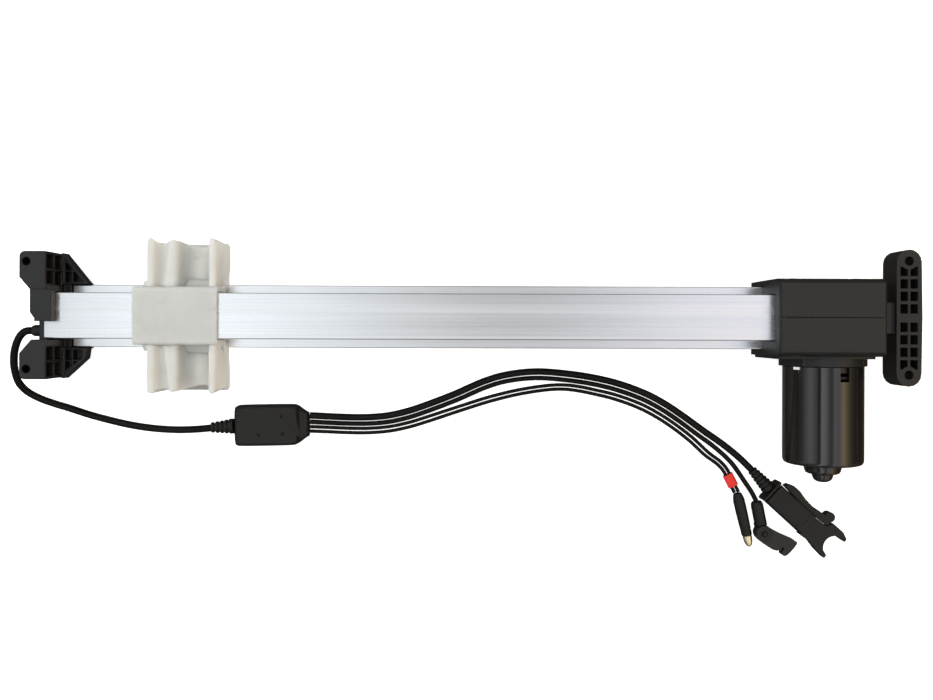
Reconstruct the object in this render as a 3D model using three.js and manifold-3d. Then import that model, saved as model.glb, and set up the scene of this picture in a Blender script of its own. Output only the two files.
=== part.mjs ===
// Single-rail linear actuator: a worm-geared motor turns a lead screw inside an aluminium
// rail, and a white slider rides along the rail. A lead with three plugs leaves the front end.
//
// Millimetres, +X along the rail towards the rear head, +Z up. X = 0 and Y = 0 are the middle
// of the rear head. Heights in this file are taken from the bench that the actuator lies on,
// and the finished group is lowered at the end, so that Z = 0 is the rear head's bolt face.
import * as THREE from 'three';
import { mergeVertices } from 'three/addons/utils/BufferGeometryUtils.js';
import Module from 'manifold-3d';

const wasm = await Module();
wasm.setup();

// ---------------------------------------------------------------- driving dimensions

const GAP = 0.3;                    // clearance between pieces that touch or slide
const AXIS_HEIGHT = 45.5;           // lead screw axis
const MOTOR_HEIGHT = 29.5;          // motor axis, also the can's radius
const MOTOR_X = -52.2;              // motor axis and worm wheel plane

const RAIL = { front: -636, rear: -88, top: 59, bottom: 28, halfWidth: 16.9, wall: 2.2 };
const FLANGE = { front: -626.5, halfWidth: 23.8, top: 30.5, lipHalfGap: 11 };

const SLIDER = { front: -570, rear: -508, top: 62.5, halfWidth: 21.6, skirtHalfWidth: 28 };
const WING = { front: -561.5, rear: -510, reach: 58, bottom: 11, top: 57 };
const SKID = { inner: 25, outer: 36, front: -556, rear: -515 };
const NUT = { front: -564, rear: -514, halfWidth: 9, top: 54.5 };

const LUG = { front: -651, rear: -632.1, inner: 18.8, outer: 46.8, bottom: 25, top: 65 };
const LUG_HOLE = { x: -646.1, y: 39.3, radius: 3.1 };
const CAP = {
  front: -642.4, rear: RAIL.front - 0.4, low: 52, tabTop: 67, tabRear: -627.2, tabSides: [-4.4, 19],
};
const GLAND = { y: -11.3, height: 46, radius: 4.3 };

const HOUSING = { front: -99, rear: -21.3, halfWidth: 28.5, top: 72, wall: 3 };
const COLLAR = { face: -36.4, front: -83, rear: -22, bandFace: -30.5, bandTop: 58 };
const HEAD = { front: -8.5, rear: 10, halfSpan: 50.6, holeSpan: 42, top: 57, bottom: 34 };
const NECK = { halfWidth: 11.5, bottom: 37.5, top: 53.5 };

const SCREW = { radius: 5, journal: 4, front: -640.5, threadFront: -631, threadRear: -76, rear: -29.6 };
const BEARING = { outer: 11, bore: 4.3, frontAt: -69.5, rearAt: -33.2, width: 5.4 };
const WHEEL = { teeth: 24, module: 0.875, width: 7 };
const WORM = { pitchRadius: 5.5, length: 12, bore: 3.1 };
const THREAD_SLOPE = WHEEL.module / (2 * WORM.pitchRadius);
const SHAFT_RADIUS = 2.8;

const CAN = { mouth: -36.7, end: -111, wall: 2, bossEnd: -118.6, domeEnd: -125.2 };

const CABLE = { main: 5.6, din: 5.4, angled: 3.8, wire: 2.8 };

// ---------------------------------------------------------------- materials

const finish = (color, roughness, metalness) => new THREE.MeshStandardMaterial({ color, roughness, metalness });
const ALUMINIUM = finish(0xd8dcde, 0.35, 0.9);
const WHITE_POM = finish(0xd6d4cc, 0.5, 0);
const BLACK_PLASTIC = finish(0x2b2c2b, 0.55, 0);
const GLOSS_BLACK = finish(0x111214, 0.18, 0.4);
const CABLE_BLACK = finish(0x1a191a, 0.6, 0);
const STEEL = finish(0x9a9c9e, 0.35, 0.9);
const BRASS = finish(0xd9c08a, 0.35, 0.9);
const COPPER = finish(0xb4693c, 0.4, 0.9);
const FERRITE = finish(0x3a3a3c, 0.8, 0);
const AMBER_PLASTIC = finish(0xb88a4a, 0.5, 0);
const RED_SLEEVE = finish(0xe6443c, 0.55, 0);

// ---------------------------------------------------------------- helpers

// A closed geometry as a solid, with shared vertices merged and faces pointing out.
function solid(geometry) {
  const plain = geometry.clone();
  plain.deleteAttribute('normal');
  plain.deleteAttribute('uv');
  const merged = mergeVertices(plain, 1e-4);
  const index = merged.index.array;
  const triangles = [];
  for (let i = 0; i < index.length; i += 3) {
    const [a, b, c] = [index[i], index[i + 1], index[i + 2]];
    if (a !== b && b !== c && c !== a) triangles.push(a, b, c);
  }
  const make = (order) => new wasm.Manifold(new wasm.Mesh({
    numProp: 3,
    vertProperties: Float32Array.from(merged.attributes.position.array),
    triVerts: Uint32Array.from(order),
  }));
  const first = make(triangles);
  return first.volume() > 0 ? first : make([...triangles].reverse());
}

const AXES = {
  x: new THREE.Matrix4().makeBasis(
    new THREE.Vector3(0, 1, 0), new THREE.Vector3(0, 0, 1), new THREE.Vector3(1, 0, 0)),
  y: new THREE.Matrix4().makeBasis(
    new THREE.Vector3(1, 0, 0), new THREE.Vector3(0, 0, 1), new THREE.Vector3(0, -1, 0)),
  z: new THREE.Matrix4(),
};

// An outline drawn in (y, z), (x, z) or (x, y) and pulled along x, y or z between two values.
function prism(axis, outline, from, to) {
  const shape = Array.isArray(outline) ? new THREE.Shape(outline.map(([u, v]) => new THREE.Vector2(u, v))) : outline;
  const geometry = new THREE.ExtrudeGeometry(shape, { depth: to - from, bevelEnabled: false, curveSegments: 4 });
  geometry.applyMatrix4(AXES[axis]);
  if (axis === 'x') geometry.translate(from, 0, 0);
  if (axis === 'y') geometry.translate(0, to, 0);
  if (axis === 'z') geometry.translate(0, 0, from);
  return solid(geometry);
}

function block([x0, x1], [y0, y1], [z0, z1]) {
  const geometry = new THREE.BoxGeometry(x1 - x0, y1 - y0, z1 - z0);
  geometry.translate((x0 + x1) / 2, (y0 + y1) / 2, (z0 + z1) / 2);
  return solid(geometry);
}

// A profile of [radius, place along the axis] points, turned about an axis through centre,
// which is given in the two other directions.
function turned(axis, [u, v], profile, sides = 16) {
  const geometry = new THREE.LatheGeometry(profile.map(([r, h]) => new THREE.Vector2(r, h)), sides);
  if (axis === 'x') geometry.rotateZ(-Math.PI / 2).translate(0, u, v);
  if (axis === 'y') geometry.translate(u, 0, v);
  if (axis === 'z') geometry.rotateX(Math.PI / 2).translate(u, v, 0);
  return solid(geometry);
}

const rod = (axis, centre, radius, from, to, sides = 16) =>
  turned(axis, centre, [[0, from], [radius, from], [radius, to], [0, to]], sides);

const ring = (axis, centre, inner, outer, from, to, sides = 16) =>
  turned(axis, centre, [[inner, from], [outer, from], [outer, to], [inner, to], [inner, from]], sides);

// A rectangle with rounded corners, as a shape.
function roundedRectangle(u0, u1, v0, v1, radius) {
  const shape = new THREE.Shape();
  shape.moveTo(u0 + radius, v0);
  shape.lineTo(u1 - radius, v0);
  shape.absarc(u1 - radius, v0 + radius, radius, -Math.PI / 2, 0);
  shape.absarc(u1 - radius, v1 - radius, radius, 0, Math.PI / 2);
  shape.absarc(u0 + radius, v1 - radius, radius, Math.PI / 2, Math.PI);
  shape.absarc(u0 + radius, v0 + radius, radius, Math.PI, 1.5 * Math.PI);
  return shape;
}

const mirrored = (part) => part.mirror([0, 1, 0]);
const union = (parts) => parts.reduce((whole, part) => whole.add(part));
const cut = (whole, parts) => parts.reduce((left, part) => left.subtract(part), whole);

const actuator = new THREE.Group();
actuator.position.z = -HEAD.top;

function add(name, part, material) {
  const { vertProperties, triVerts } = part.getMesh();
  const geometry = new THREE.BufferGeometry();
  geometry.setAttribute('position', new THREE.BufferAttribute(new Float32Array(vertProperties), 3));
  geometry.setIndex(new THREE.BufferAttribute(new Uint32Array(triVerts), 1));
  geometry.computeVertexNormals();
  const mesh = new THREE.Mesh(geometry, material);
  mesh.name = name;
  actuator.add(mesh);
  return mesh;
}

// A mesh built about its own origin, then set down at a place and turned about the vertical.
function place(name, part, material, [x, y, height], turn) {
  const mesh = add(name, part, material);
  mesh.position.set(x, y, height);
  mesh.rotation.z = turn;
}

// ---------------------------------------------------------------- rail

// The space that the rail needs, grown by a clearance, between two places along it. Its
// flanges start a little further back than its channel does.
function railEnvelope(from, to, clearance) {
  const wide = FLANGE.halfWidth + clearance;
  const narrow = RAIL.halfWidth + clearance;
  const low = RAIL.bottom - clearance;
  const channel = block([from, to], [-narrow, narrow], [low, RAIL.top + clearance]);
  const flangeFrom = Math.max(from, FLANGE.front - clearance);
  const flanges = block([flangeFrom, to], [-wide, wide], [low, FLANGE.top + clearance]);
  return channel.add(flanges);
}

function guideRail() {
  const inside = RAIL.halfWidth - RAIL.wall;
  const ceiling = RAIL.top - RAIL.wall;
  const lipTop = RAIL.bottom + RAIL.wall;
  const hollow = block([RAIL.front - 1, RAIL.rear + 1], [-inside, inside], [lipTop, ceiling]);
  const slot = block(
    [RAIL.front - 1, RAIL.rear + 1], [-FLANGE.lipHalfGap, FLANGE.lipHalfGap], [RAIL.bottom - 1, lipTop + 1]);
  return cut(railEnvelope(RAIL.front, RAIL.rear, 0), [hollow, slot]);
}

// ---------------------------------------------------------------- front bracket

// One bolt lug with its ribbed gusset, on the +Y side. The gusset's outline ends in a slope
// down to its tip beside the rail.
function lug(gussetTip, slopeEnd) {
  const { front, rear, inner, outer, bottom, top } = LUG;
  const corner = 4;
  const outline = new THREE.Shape();
  outline.moveTo(front, inner + 9);
  outline.lineTo(CAP.front, inner - 1);
  outline.lineTo(rear, inner - 1);
  outline.lineTo(rear, outer);
  outline.lineTo(front + corner, outer);
  outline.absarc(front + corner, outer - corner, corner, Math.PI / 2, Math.PI);
  const tower = prism('z', outline, bottom, top);
  const gussetHeight = 10;
  const gusset = prism('z', [
    [rear - 1, inner + 5.5], [gussetTip, inner + 5.5], slopeEnd, [rear + 0.4, outer + 0.8], [rear - 1, outer + 0.8],
  ], bottom, bottom + gussetHeight);
  const pockets = [];
  const pocketDepth = 8.5;
  for (const [y0, y1] of [[inner + 4.4, inner + 14], [inner + 16, inner + 26]]) {
    for (const [z0, z1] of [[bottom + 12, bottom + 23.5], [bottom + 25.5, bottom + 37.5]]) {
      pockets.push(block([rear - pocketDepth, rear + 1], [y0, y1], [z0, z1]));
    }
  }
  const floor = 2;
  const openPart = prism('z', [
    [rear + 1.5, inner + 7], [gussetTip - 3.5, inner + 7],
    [slopeEnd[0] - 2.6, slopeEnd[1]], [rear + 1.5, outer - 5.5],
  ], bottom + floor, bottom + gussetHeight + 2);
  const ribs = [
    block([rear, gussetTip], [inner + 14.6, inner + 15.8], [bottom, bottom + gussetHeight + 3]),
    block([rear + 6.4, rear + 7.6], [inner, outer], [bottom, bottom + gussetHeight + 3]),
  ];
  pockets.push(cut(openPart, ribs));
  pockets.push(rod('z', [LUG_HOLE.x, LUG_HOLE.y], LUG_HOLE.radius, bottom - 1, top + 1, 24));
  return cut(tower.add(gusset), pockets);
}

function frontBracket() {
  const farTip = -612.7;
  const nearTip = -614;
  const endWall = block([CAP.front, CAP.rear], [-LUG.inner - 1, LUG.inner + 1], [LUG.bottom, CAP.low]);
  const tallWall = block([CAP.front, CAP.rear], CAP.tabSides, [CAP.low - 1, CAP.tabTop]);
  const tab = block([CAP.rear - 1, CAP.tabRear], CAP.tabSides, [RAIL.top + 0.4, CAP.tabTop]);
  const tie = block([CAP.front, farTip], [-24.8, 24.8], [LUG.bottom, RAIL.bottom]);
  const seat = block([CAP.front, FLANGE.front - 0.4], [-24.8, 24.8], [LUG.bottom, FLANGE.top + 2]);
  const farLug = lug(farTip, [-615.5, 27.5]);
  const nearLug = mirrored(lug(nearTip, [-615.2, 32.4]));
  const corner = prism('z', [
    [CAP.front - 1, 3.6], [CAP.front - 1, -10], [CAP.front + 3.2, -10], [CAP.front + 3.2, -2.3],
  ], CAP.low, CAP.tabTop + 1);
  const whole = union([endWall, tallWall, tab, tie, seat, farLug, nearLug]);
  return cut(whole, [
    corner,
    railEnvelope(RAIL.front - 0.4, farTip + 2, 0.4),
    rod('x', [0, AXIS_HEIGHT], 6 + GAP, CAP.front - 1, CAP.rear + 1),
    rod('x', [GLAND.y, GLAND.height], GLAND.radius - 1 + GAP, CAP.front - 1, CAP.rear + 1, 16),
  ]);
}

function frontScrewBush() {
  const barrel = ring('x', [0, AXIS_HEIGHT], SCREW.journal + GAP, 6, CAP.front, CAP.rear, 12);
  const flange = ring('x', [0, AXIS_HEIGHT], SCREW.journal + GAP, 8.5, CAP.rear + 0.8, CAP.rear + 3, 12);
  const neck = ring('x', [0, AXIS_HEIGHT], SCREW.journal + GAP, 6, CAP.rear - 0.1, CAP.rear + 1, 12);
  return union([barrel, neck, flange]);
}

// The gland stands out of the end wall, where the lead comes out.
function cableGland() {
  const face = CAP.front - GAP;
  const tip = face - 7.2;
  const barrelRadius = GLAND.radius - 1;
  return turned('x', [GLAND.y, GLAND.height], [
    [0, tip], [GLAND.radius - 0.9, tip], [GLAND.radius, tip + 1.5], [GLAND.radius, face],
    [barrelRadius, face], [barrelRadius, CAP.rear - 0.2], [0, CAP.rear - 0.2],
  ], 16);
}

// ---------------------------------------------------------------- gear housing

function housingBody() {
  const { front, rear, halfWidth, top, wall } = HOUSING;
  const side = prism('y', roundedRectangle(front, rear, 0, top, 3), -halfWidth, halfWidth);
  const shoulder = top - 8;
  const crown = halfWidth - 2;
  const section = prism('x', [
    [-halfWidth + 2, 0], [halfWidth - 2, 0], [halfWidth, 2], [halfWidth, shoulder],
    [crown, top - 1.6], [crown - 1.6, top], [1.6 - crown, top], [-crown, top - 1.6],
    [-halfWidth, shoulder], [-halfWidth, 2],
  ], front, rear);
  const cavity = block([front + wall, rear - wall], [-25, 25], [wall, top - wall]);
  return cut(side.intersect(section), [cavity]);
}

// The plates that hold the two lead screw bearings, and the corner posts for the screws.
function housingInside() {
  const { top, wall } = HOUSING;
  const plates = [];
  for (const at of [BEARING.frontAt, BEARING.rearAt]) {
    const half = BEARING.width / 2;
    plates.push(block([at - half, at + half], [-25.5, 25.5], [wall - 0.5, top - wall + 0.5]));
  }
  return plates;
}

const HOUSING_SCREWS = [
  ['housing_screw_1', -88, 64], ['housing_screw_2', -42.5, 64],
  ['housing_screw_3', -88, 8.5], ['housing_screw_4', -42.5, 8.5],
];
const SCREW_HEAD = { radius: 3.6, height: 1.8, recess: 2.2 };

function housing() {
  const posts = HOUSING_SCREWS.map(([, x, z]) => rod('y', [x, z], 4.5, -25.5, 25.5, 16));
  const holes = HOUSING_SCREWS.map(([, x, z]) => rod('y', [x, z], 2.1, -16.5, HOUSING.halfWidth + 1, 12));
  const recesses = HOUSING_SCREWS.map(([, x, z]) => rod(
    'y', [x, z], SCREW_HEAD.radius + 0.4, HOUSING.halfWidth - SCREW_HEAD.recess, HOUSING.halfWidth + 1, 20));
  const wormPost = rod('y', [MOTOR_X, MOTOR_HEIGHT], 10, 12, 25.5);
  const whole = union([housingBody(), ...housingInside(), ...posts, wormPost]);
  return cut(whole, [
    ...holes,
    ...recesses,
    railEnvelope(HOUSING.front - 1, RAIL.rear + 0.4, 0.4),
    rod('x', [0, AXIS_HEIGHT], BEARING.outer + GAP, BEARING.frontAt - 4, BEARING.rearAt + 4, 20),
    rod('y', [MOTOR_X, MOTOR_HEIGHT], 8.3, 11, 18.4),
    block([HOUSING.rear - 4, HOUSING.rear + 1],
      [-NECK.halfWidth - GAP, NECK.halfWidth + GAP], [NECK.bottom - GAP, NECK.top + GAP]),
    block([BEARING.frontAt - 4, BEARING.rearAt + 3.5], [-7.5, 9], [20, AXIS_HEIGHT]),
  ]);
}

function housingFarHalf(whole) {
  return whole.intersect(block([-120, 0], [GAP / 2, 60], [-1, 90]));
}

function housingMotorHalf(whole) {
  const { face, front, rear, bandFace, bandTop } = COLLAR;
  const half = whole.intersect(block([-120, 0], [-60, -GAP / 2], [-1, 90]));
  const wallFace = -HOUSING.halfWidth + 0.5;
  const disc = rod('y', [MOTOR_X, MOTOR_HEIGHT], 30.4, face, wallFace, 32)
    .intersect(block([-120, 0], [-60, 0], [0.3, 60]));
  const ears = prism('y', [
    [front, 20], [front + 8, 8], [rear - 8, 8], [rear, 20], [rear, 39], [rear - 8, 51], [front + 8, 51], [front, 39],
  ], face, wallFace);
  const holes = MOTOR_SCREWS.map(([, z]) => rod('y', [MOTOR_X, z], 2.1, face - 1, -20, 12));
  const bandOutline = roundedRectangle(HOUSING.front + 2, HOUSING.rear - 1, 1, bandTop, 6);
  const band = prism('y', bandOutline, bandFace, wallFace);
  return cut(union([half, disc, ears, band]), [
    rod('y', [MOTOR_X, MOTOR_HEIGHT], 12.4, face - 1, -10, 20),
    ...holes,
  ]);
}

function headedScrew(centre, head, headFrom, headTo, shank, tip) {
  const socket = rod('y', centre, head * 0.5, headTo - 1.4, headTo + 1, 6);
  const profile = headTo > headFrom
    ? [[0, tip], [shank, tip], [shank, headFrom], [head, headFrom], [head, headTo], [0, headTo]]
    : [[0, headTo], [head, headTo], [head, headFrom], [shank, headFrom], [shank, tip], [0, tip]];
  return turned('y', centre, profile, 16).subtract(socket);
}

// ---------------------------------------------------------------- rear mounting head

function headOutline() {
  const { front, rear, halfSpan } = HEAD;
  const round = (rear - front) / 2;
  const middle = (front + rear) / 2;
  const bulge = 0.6;
  const shape = new THREE.Shape();
  shape.moveTo(front, -halfSpan + round);
  shape.absarc(middle, -halfSpan + round, round, Math.PI, 2 * Math.PI);
  shape.quadraticCurveTo(rear + 2 * bulge, 0, rear, halfSpan - round);
  shape.absarc(middle, halfSpan - round, round, 0, Math.PI);
  return shape;
}

// The open cells between the ribs: two columns of four on each side of the middle.
function headCells() {
  const cells = [];
  const middle = (HEAD.front + HEAD.rear) / 2;
  const depth = 17;
  const firstCell = 3.4;
  const pitch = 9.2;
  const length = 6.8;
  for (const side of [-1, 1]) {
    for (const column of [-1, 1]) {
      for (let i = 0; i < 4; i += 1) {
        const near = firstCell + i * pitch;
        const ys = [side * near, side * (near + length)].sort((a, b) => a - b);
        const xs = [middle + column * 1, middle + column * 6.4].sort((a, b) => a - b);
        const cell = block(xs, ys, [HEAD.top - depth, HEAD.top + 1]);
        const boss = rod('z', [middle, side * HEAD.holeSpan], 6.3, HEAD.top - depth - 1, HEAD.top + 2, 20);
        cells.push(cell.subtract(boss));
      }
    }
  }
  return cells;
}

function rearMountingHead() {
  const plate = prism('z', headOutline(), HEAD.bottom, HEAD.top);
  const neck = block([-26, HEAD.front + 1], [-NECK.halfWidth, NECK.halfWidth], [NECK.bottom, NECK.top]);
  const anchor = block([-29.2, -24.7], [-17, 17], [33.5, 57.5]);
  const middle = (HEAD.front + HEAD.rear) / 2;
  const holes = [-1, 1].map((side) =>
    rod('z', [middle, side * HEAD.holeSpan], 3.3, HEAD.bottom - 1, HEAD.top + 1, 24));
  return cut(union([plate, neck, anchor]), [...headCells(), ...holes]);
}

// ---------------------------------------------------------------- lead screw group

function leadScrew() {
  const { radius, journal, front, threadFront, threadRear, rear } = SCREW;
  return turned('x', [0, AXIS_HEIGHT], [
    [0, front], [journal, front], [journal, threadFront], [radius, threadFront],
    [radius, threadRear], [journal, threadRear], [journal, rear], [0, rear],
  ], 16);
}

function bearing(at) {
  const half = BEARING.width / 2;
  return ring('x', [0, AXIS_HEIGHT], BEARING.bore, BEARING.outer, at - half, at + half, 16);
}

// Straight-sided teeth on a twisted blank, so that they follow the worm's thread.
function wormWheel() {
  const { teeth, module: m, width } = WHEEL;
  const pitchRadius = (teeth * m) / 2;
  const radii = [pitchRadius - 1.25 * m, pitchRadius, pitchRadius + 0.9 * m];
  const halfWidths = [0.95, 0.5, 0.22];
  const pitch = (2 * Math.PI) / teeth;
  const points = [];
  for (let i = 0; i < teeth; i += 1) {
    const middle = -Math.PI / 2 + (i + 0.5) * pitch;
    for (const k of [0, 1, 2]) points.push([radii[k], middle - halfWidths[k] / radii[k]]);
    for (const k of [2, 1, 0]) points.push([radii[k], middle + halfWidths[k] / radii[k]]);
  }
  const shape = new THREE.Shape(points.map(([r, a]) => new THREE.Vector2(r * Math.cos(a), r * Math.sin(a))));
  const geometry = new THREE.ExtrudeGeometry(shape, { depth: width, steps: 2, bevelEnabled: false });
  geometry.translate(0, 0, -width / 2);
  const place3 = geometry.attributes.position;
  for (let i = 0; i < place3.count; i += 1) {
    const turn = (THREAD_SLOPE * place3.getZ(i)) / pitchRadius;
    const [y, z] = [place3.getX(i), place3.getY(i)];
    place3.setXY(i, y * Math.cos(turn) - z * Math.sin(turn), y * Math.sin(turn) + z * Math.cos(turn));
  }
  geometry.applyMatrix4(AXES.x).translate(MOTOR_X, 0, AXIS_HEIGHT);
  const bore = rod('x', [0, AXIS_HEIGHT], SCREW.journal + GAP, MOTOR_X - 9, MOTOR_X + 9);
  const hub = ring('x', [0, AXIS_HEIGHT], SCREW.journal + GAP, 7, MOTOR_X + 2, MOTOR_X + 6);
  return solid(geometry).subtract(bore).add(hub);
}

// A hexagonal nut that locks the wheel on the lead screw.
function lockNut() {
  return rod('x', [0, AXIS_HEIGHT], 7, MOTOR_X + 6.4, MOTOR_X + 10.4, 6)
    .subtract(rod('x', [0, AXIS_HEIGHT], SCREW.journal + GAP, MOTOR_X + 5, MOTOR_X + 12));
}

// ---------------------------------------------------------------- motor

function motorCan() {
  const radius = MOTOR_HEIGHT;
  const { mouth, end, wall, bossEnd, domeEnd } = CAN;
  const inside = radius - wall;
  const boss = 13;
  const seat = 8 + GAP;
  const notch = block([MOTOR_X + 1.8, MOTOR_X + 9], [mouth - 10.6, mouth + 1], [45, 60]);
  const shell = turned('y', [MOTOR_X, MOTOR_HEIGHT], [
    [inside, mouth], [radius, mouth], [radius, end + 3], [radius - 0.9, end + 0.9], [radius - 3, end],
    [boss, end], [boss - 0.4, bossEnd + 1], [boss - 1.4, bossEnd], [8.4, bossEnd],
    [7.6, bossEnd - 3.4], [5.4, domeEnd + 0.9], [2.4, domeEnd], [0, domeEnd],
    [0, domeEnd + 3], [4, domeEnd + 3], [4, bossEnd + 0.8], [seat, bossEnd + 0.8], [seat, end + wall],
    [inside, end + wall], [inside, mouth],
  ], 32);
  return shell.subtract(notch);
}

// A bright sheet tab that holds the can to the collar, lying on the can's round side.
function canTab() {
  const lean = -58;
  return block([-2.6, 2.6], [CAN.mouth - 2, CAN.mouth], [MOTOR_HEIGHT + GAP, MOTOR_HEIGHT + 1.5])
    .rotate([0, lean, 0])
    .translate([MOTOR_X, 0, MOTOR_HEIGHT]);
}

function motorFrontPlate() {
  const outer = MOTOR_HEIGHT - CAN.wall - GAP;
  const plate = turned('y', [MOTOR_X, MOTOR_HEIGHT], [
    [8.3, -23.6], [12, -23.6], [12, -37], [outer, -37], [outer, -41], [5, -41], [5, -29.5],
    [8.3, -29.5], [8.3, -23.6],
  ], 20);
  const holes = MOTOR_SCREWS.map(([, z]) => rod('y', [MOTOR_X, z], 2.1, -42, -36, 12));
  return cut(plate, holes);
}

const MOTOR_SCREWS = [['motor_screw_1', MOTOR_HEIGHT - 20.5], ['motor_screw_2', MOTOR_HEIGHT + 20.5]];

function shaftBearing(from, to) {
  return ring('y', [MOTOR_X, MOTOR_HEIGHT], SHAFT_RADIUS + GAP, 8, from, to, 14);
}

// One curved ferrite magnet against the can's wall, on the +X or -X side.
function magnet(side) {
  const inner = 21.8;
  const outer = MOTOR_HEIGHT - CAN.wall - GAP;
  const half = THREE.MathUtils.degToRad(66);
  const middle = side > 0 ? 0 : Math.PI;
  const shape = new THREE.Shape();
  shape.absarc(MOTOR_X, MOTOR_HEIGHT, outer, middle - half, middle + half);
  shape.absarc(MOTOR_X, MOTOR_HEIGHT, inner, middle + half, middle - half, true);
  return prism('y', shape, -102, -56);
}

function armatureCore() {
  const slots = 10;
  const core = rod('y', [MOTOR_X, MOTOR_HEIGHT], 20.8, -96, -62, 20);
  const cuts = [rod('y', [MOTOR_X, MOTOR_HEIGHT], SHAFT_RADIUS + GAP, -97, -61, 16)];
  for (let i = 0; i < slots; i += 1) {
    const slot = block([15, 22], [-97, -61], [-1.1, 1.1])
      .rotate([0, (360 * i) / slots, 0])
      .translate([MOTOR_X, 0, MOTOR_HEIGHT]);
    cuts.push(slot);
  }
  return cut(core, cuts);
}

const windings = (from, to) => turned('y', [MOTOR_X, MOTOR_HEIGHT], [
  [SHAFT_RADIUS + 3, from], [15, from], [18, (from + to) / 2], [15, to],
  [SHAFT_RADIUS + 3, to], [SHAFT_RADIUS + 3, from],
], 14);

function brushCard() {
  return ring('y', [MOTOR_X, MOTOR_HEIGHT], 15.5, MOTOR_HEIGHT - CAN.wall - 0.6, -45.5, -43.5, 20);
}

function brush(side) {
  const gap = 9.4;
  const xs = [MOTOR_X + side * gap, MOTOR_X + side * 15].sort((a, b) => a - b);
  return block(xs, [-50.6, -44], [MOTOR_HEIGHT - 2.6, MOTOR_HEIGHT + 2.6]);
}

// The worm's section: a cam shape that climbs from root to crest and back in one turn.
function wormSection() {
  const m = WHEEL.module;
  const points = [];
  const profile = [[0, 0.9 * m], [0.09, 0.9 * m], [0.2, 0], [0.31, -1.1 * m], [0.5, -1.1 * m]];
  const rises = [...profile, ...profile.slice(1, -1).reverse().map(([turn, height]) => [1 - turn, height])];
  for (const [turn, height] of rises) {
    const angle = -Math.PI / 2 + 2 * Math.PI * turn;
    const radius = WORM.pitchRadius + height;
    points.push(new THREE.Vector2(radius * Math.cos(angle), radius * Math.sin(angle)));
  }
  return points;
}

// A single-start, right-handed thread: the section, twisted once per lead.
function worm() {
  const points = wormSection();
  const { length, bore } = WORM;
  const lead = Math.PI * WHEEL.module;
  const stepsPerTurn = 8;
  const sides = 12;
  const fine = [];
  for (let i = 0; i < points.length; i += 1) {
    const [a, b] = [points[i], points[(i + 1) % points.length]];
    const [angleA, angleB] = [Math.atan2(a.y, a.x), Math.atan2(b.y, b.x)];
    const sweep = (angleB - angleA + 2 * Math.PI) % (2 * Math.PI);
    const pieces = Math.max(1, Math.round((sweep * sides) / (2 * Math.PI)));
    for (let k = 0; k < pieces; k += 1) {
      const radius = THREE.MathUtils.lerp(a.length(), b.length(), k / pieces);
      const angle = angleA + (sweep * k) / pieces;
      fine.push(new THREE.Vector2(radius * Math.cos(angle), radius * Math.sin(angle)));
    }
  }
  const steps = Math.round((length / lead) * stepsPerTurn);
  const geometry = new THREE.ExtrudeGeometry(new THREE.Shape(fine), { depth: length, steps, bevelEnabled: false });
  geometry.translate(0, 0, -length / 2);
  const place3 = geometry.attributes.position;
  for (let i = 0; i < place3.count; i += 1) {
    const turn = (2 * Math.PI * place3.getZ(i)) / lead;
    const [x, y] = [place3.getX(i), place3.getY(i)];
    place3.setXY(i, x * Math.cos(turn) - y * Math.sin(turn), x * Math.sin(turn) + y * Math.cos(turn));
  }
  geometry.rotateX(-Math.PI / 2).translate(MOTOR_X, 0, MOTOR_HEIGHT);
  return solid(geometry).subtract(rod('y', [MOTOR_X, MOTOR_HEIGHT], bore, -length, length, 16));
}

// ---------------------------------------------------------------- slider

// One wing on the +Y side: upright rims and a cradle for the tube that the actuator pushes.
function wing() {
  const { front, rear, reach, bottom, top } = WING;
  const profile = [
    [front, bottom + 2], [front + 2, bottom], [rear - 2, bottom], [rear, bottom + 2], [rear, top - 1], [rear - 1.2, top],
    [rear - 4.2, top], [rear - 6, top - 3], [rear - 9, top - 24], [rear - 12, top - 29], [rear - 19, top - 31],
    [rear - 25, top - 28], [rear - 27.5, top - 20], [rear - 29, top - 5], [rear - 31, top - 3], [rear - 38, top - 3],
    [rear - 40.5, top - 6], [rear - 42.5, top - 12], [rear - 44, top - 6], [front + 6, top - 2], [front + 4.5, top],
    [front + 1.2, top], [front, top - 1.5],
  ];
  const block3 = prism('y', profile, SLIDER.halfWidth - 4, reach);
  const ends = new THREE.Shape();
  ends.moveTo(front - 1, 0);
  ends.lineTo(rear + 1, 0);
  ends.lineTo(rear + 1, reach - 2);
  ends.quadraticCurveTo(rear - 2, reach + 1, rear - 7, reach - 1);
  ends.quadraticCurveTo(rear - 17, reach - 6, rear - 27, reach - 3);
  ends.quadraticCurveTo(rear - 34, reach - 0.5, rear - 40, reach - 3);
  ends.quadraticCurveTo(rear - 44, reach - 5.5, front + 5, reach - 1);
  ends.quadraticCurveTo(front + 2, reach + 1, front - 1, reach - 2.5);
  return block3.intersect(prism('z', ends, bottom - 1, top + 1));
}

function skid() {
  const { inner, outer, front, rear } = SKID;
  return prism('y', [
    [front, 1.5], [front + 3, 0], [rear - 3, 0], [rear, 1.5], [rear, 20], [front, 20],
  ], inner, outer);
}

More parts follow.
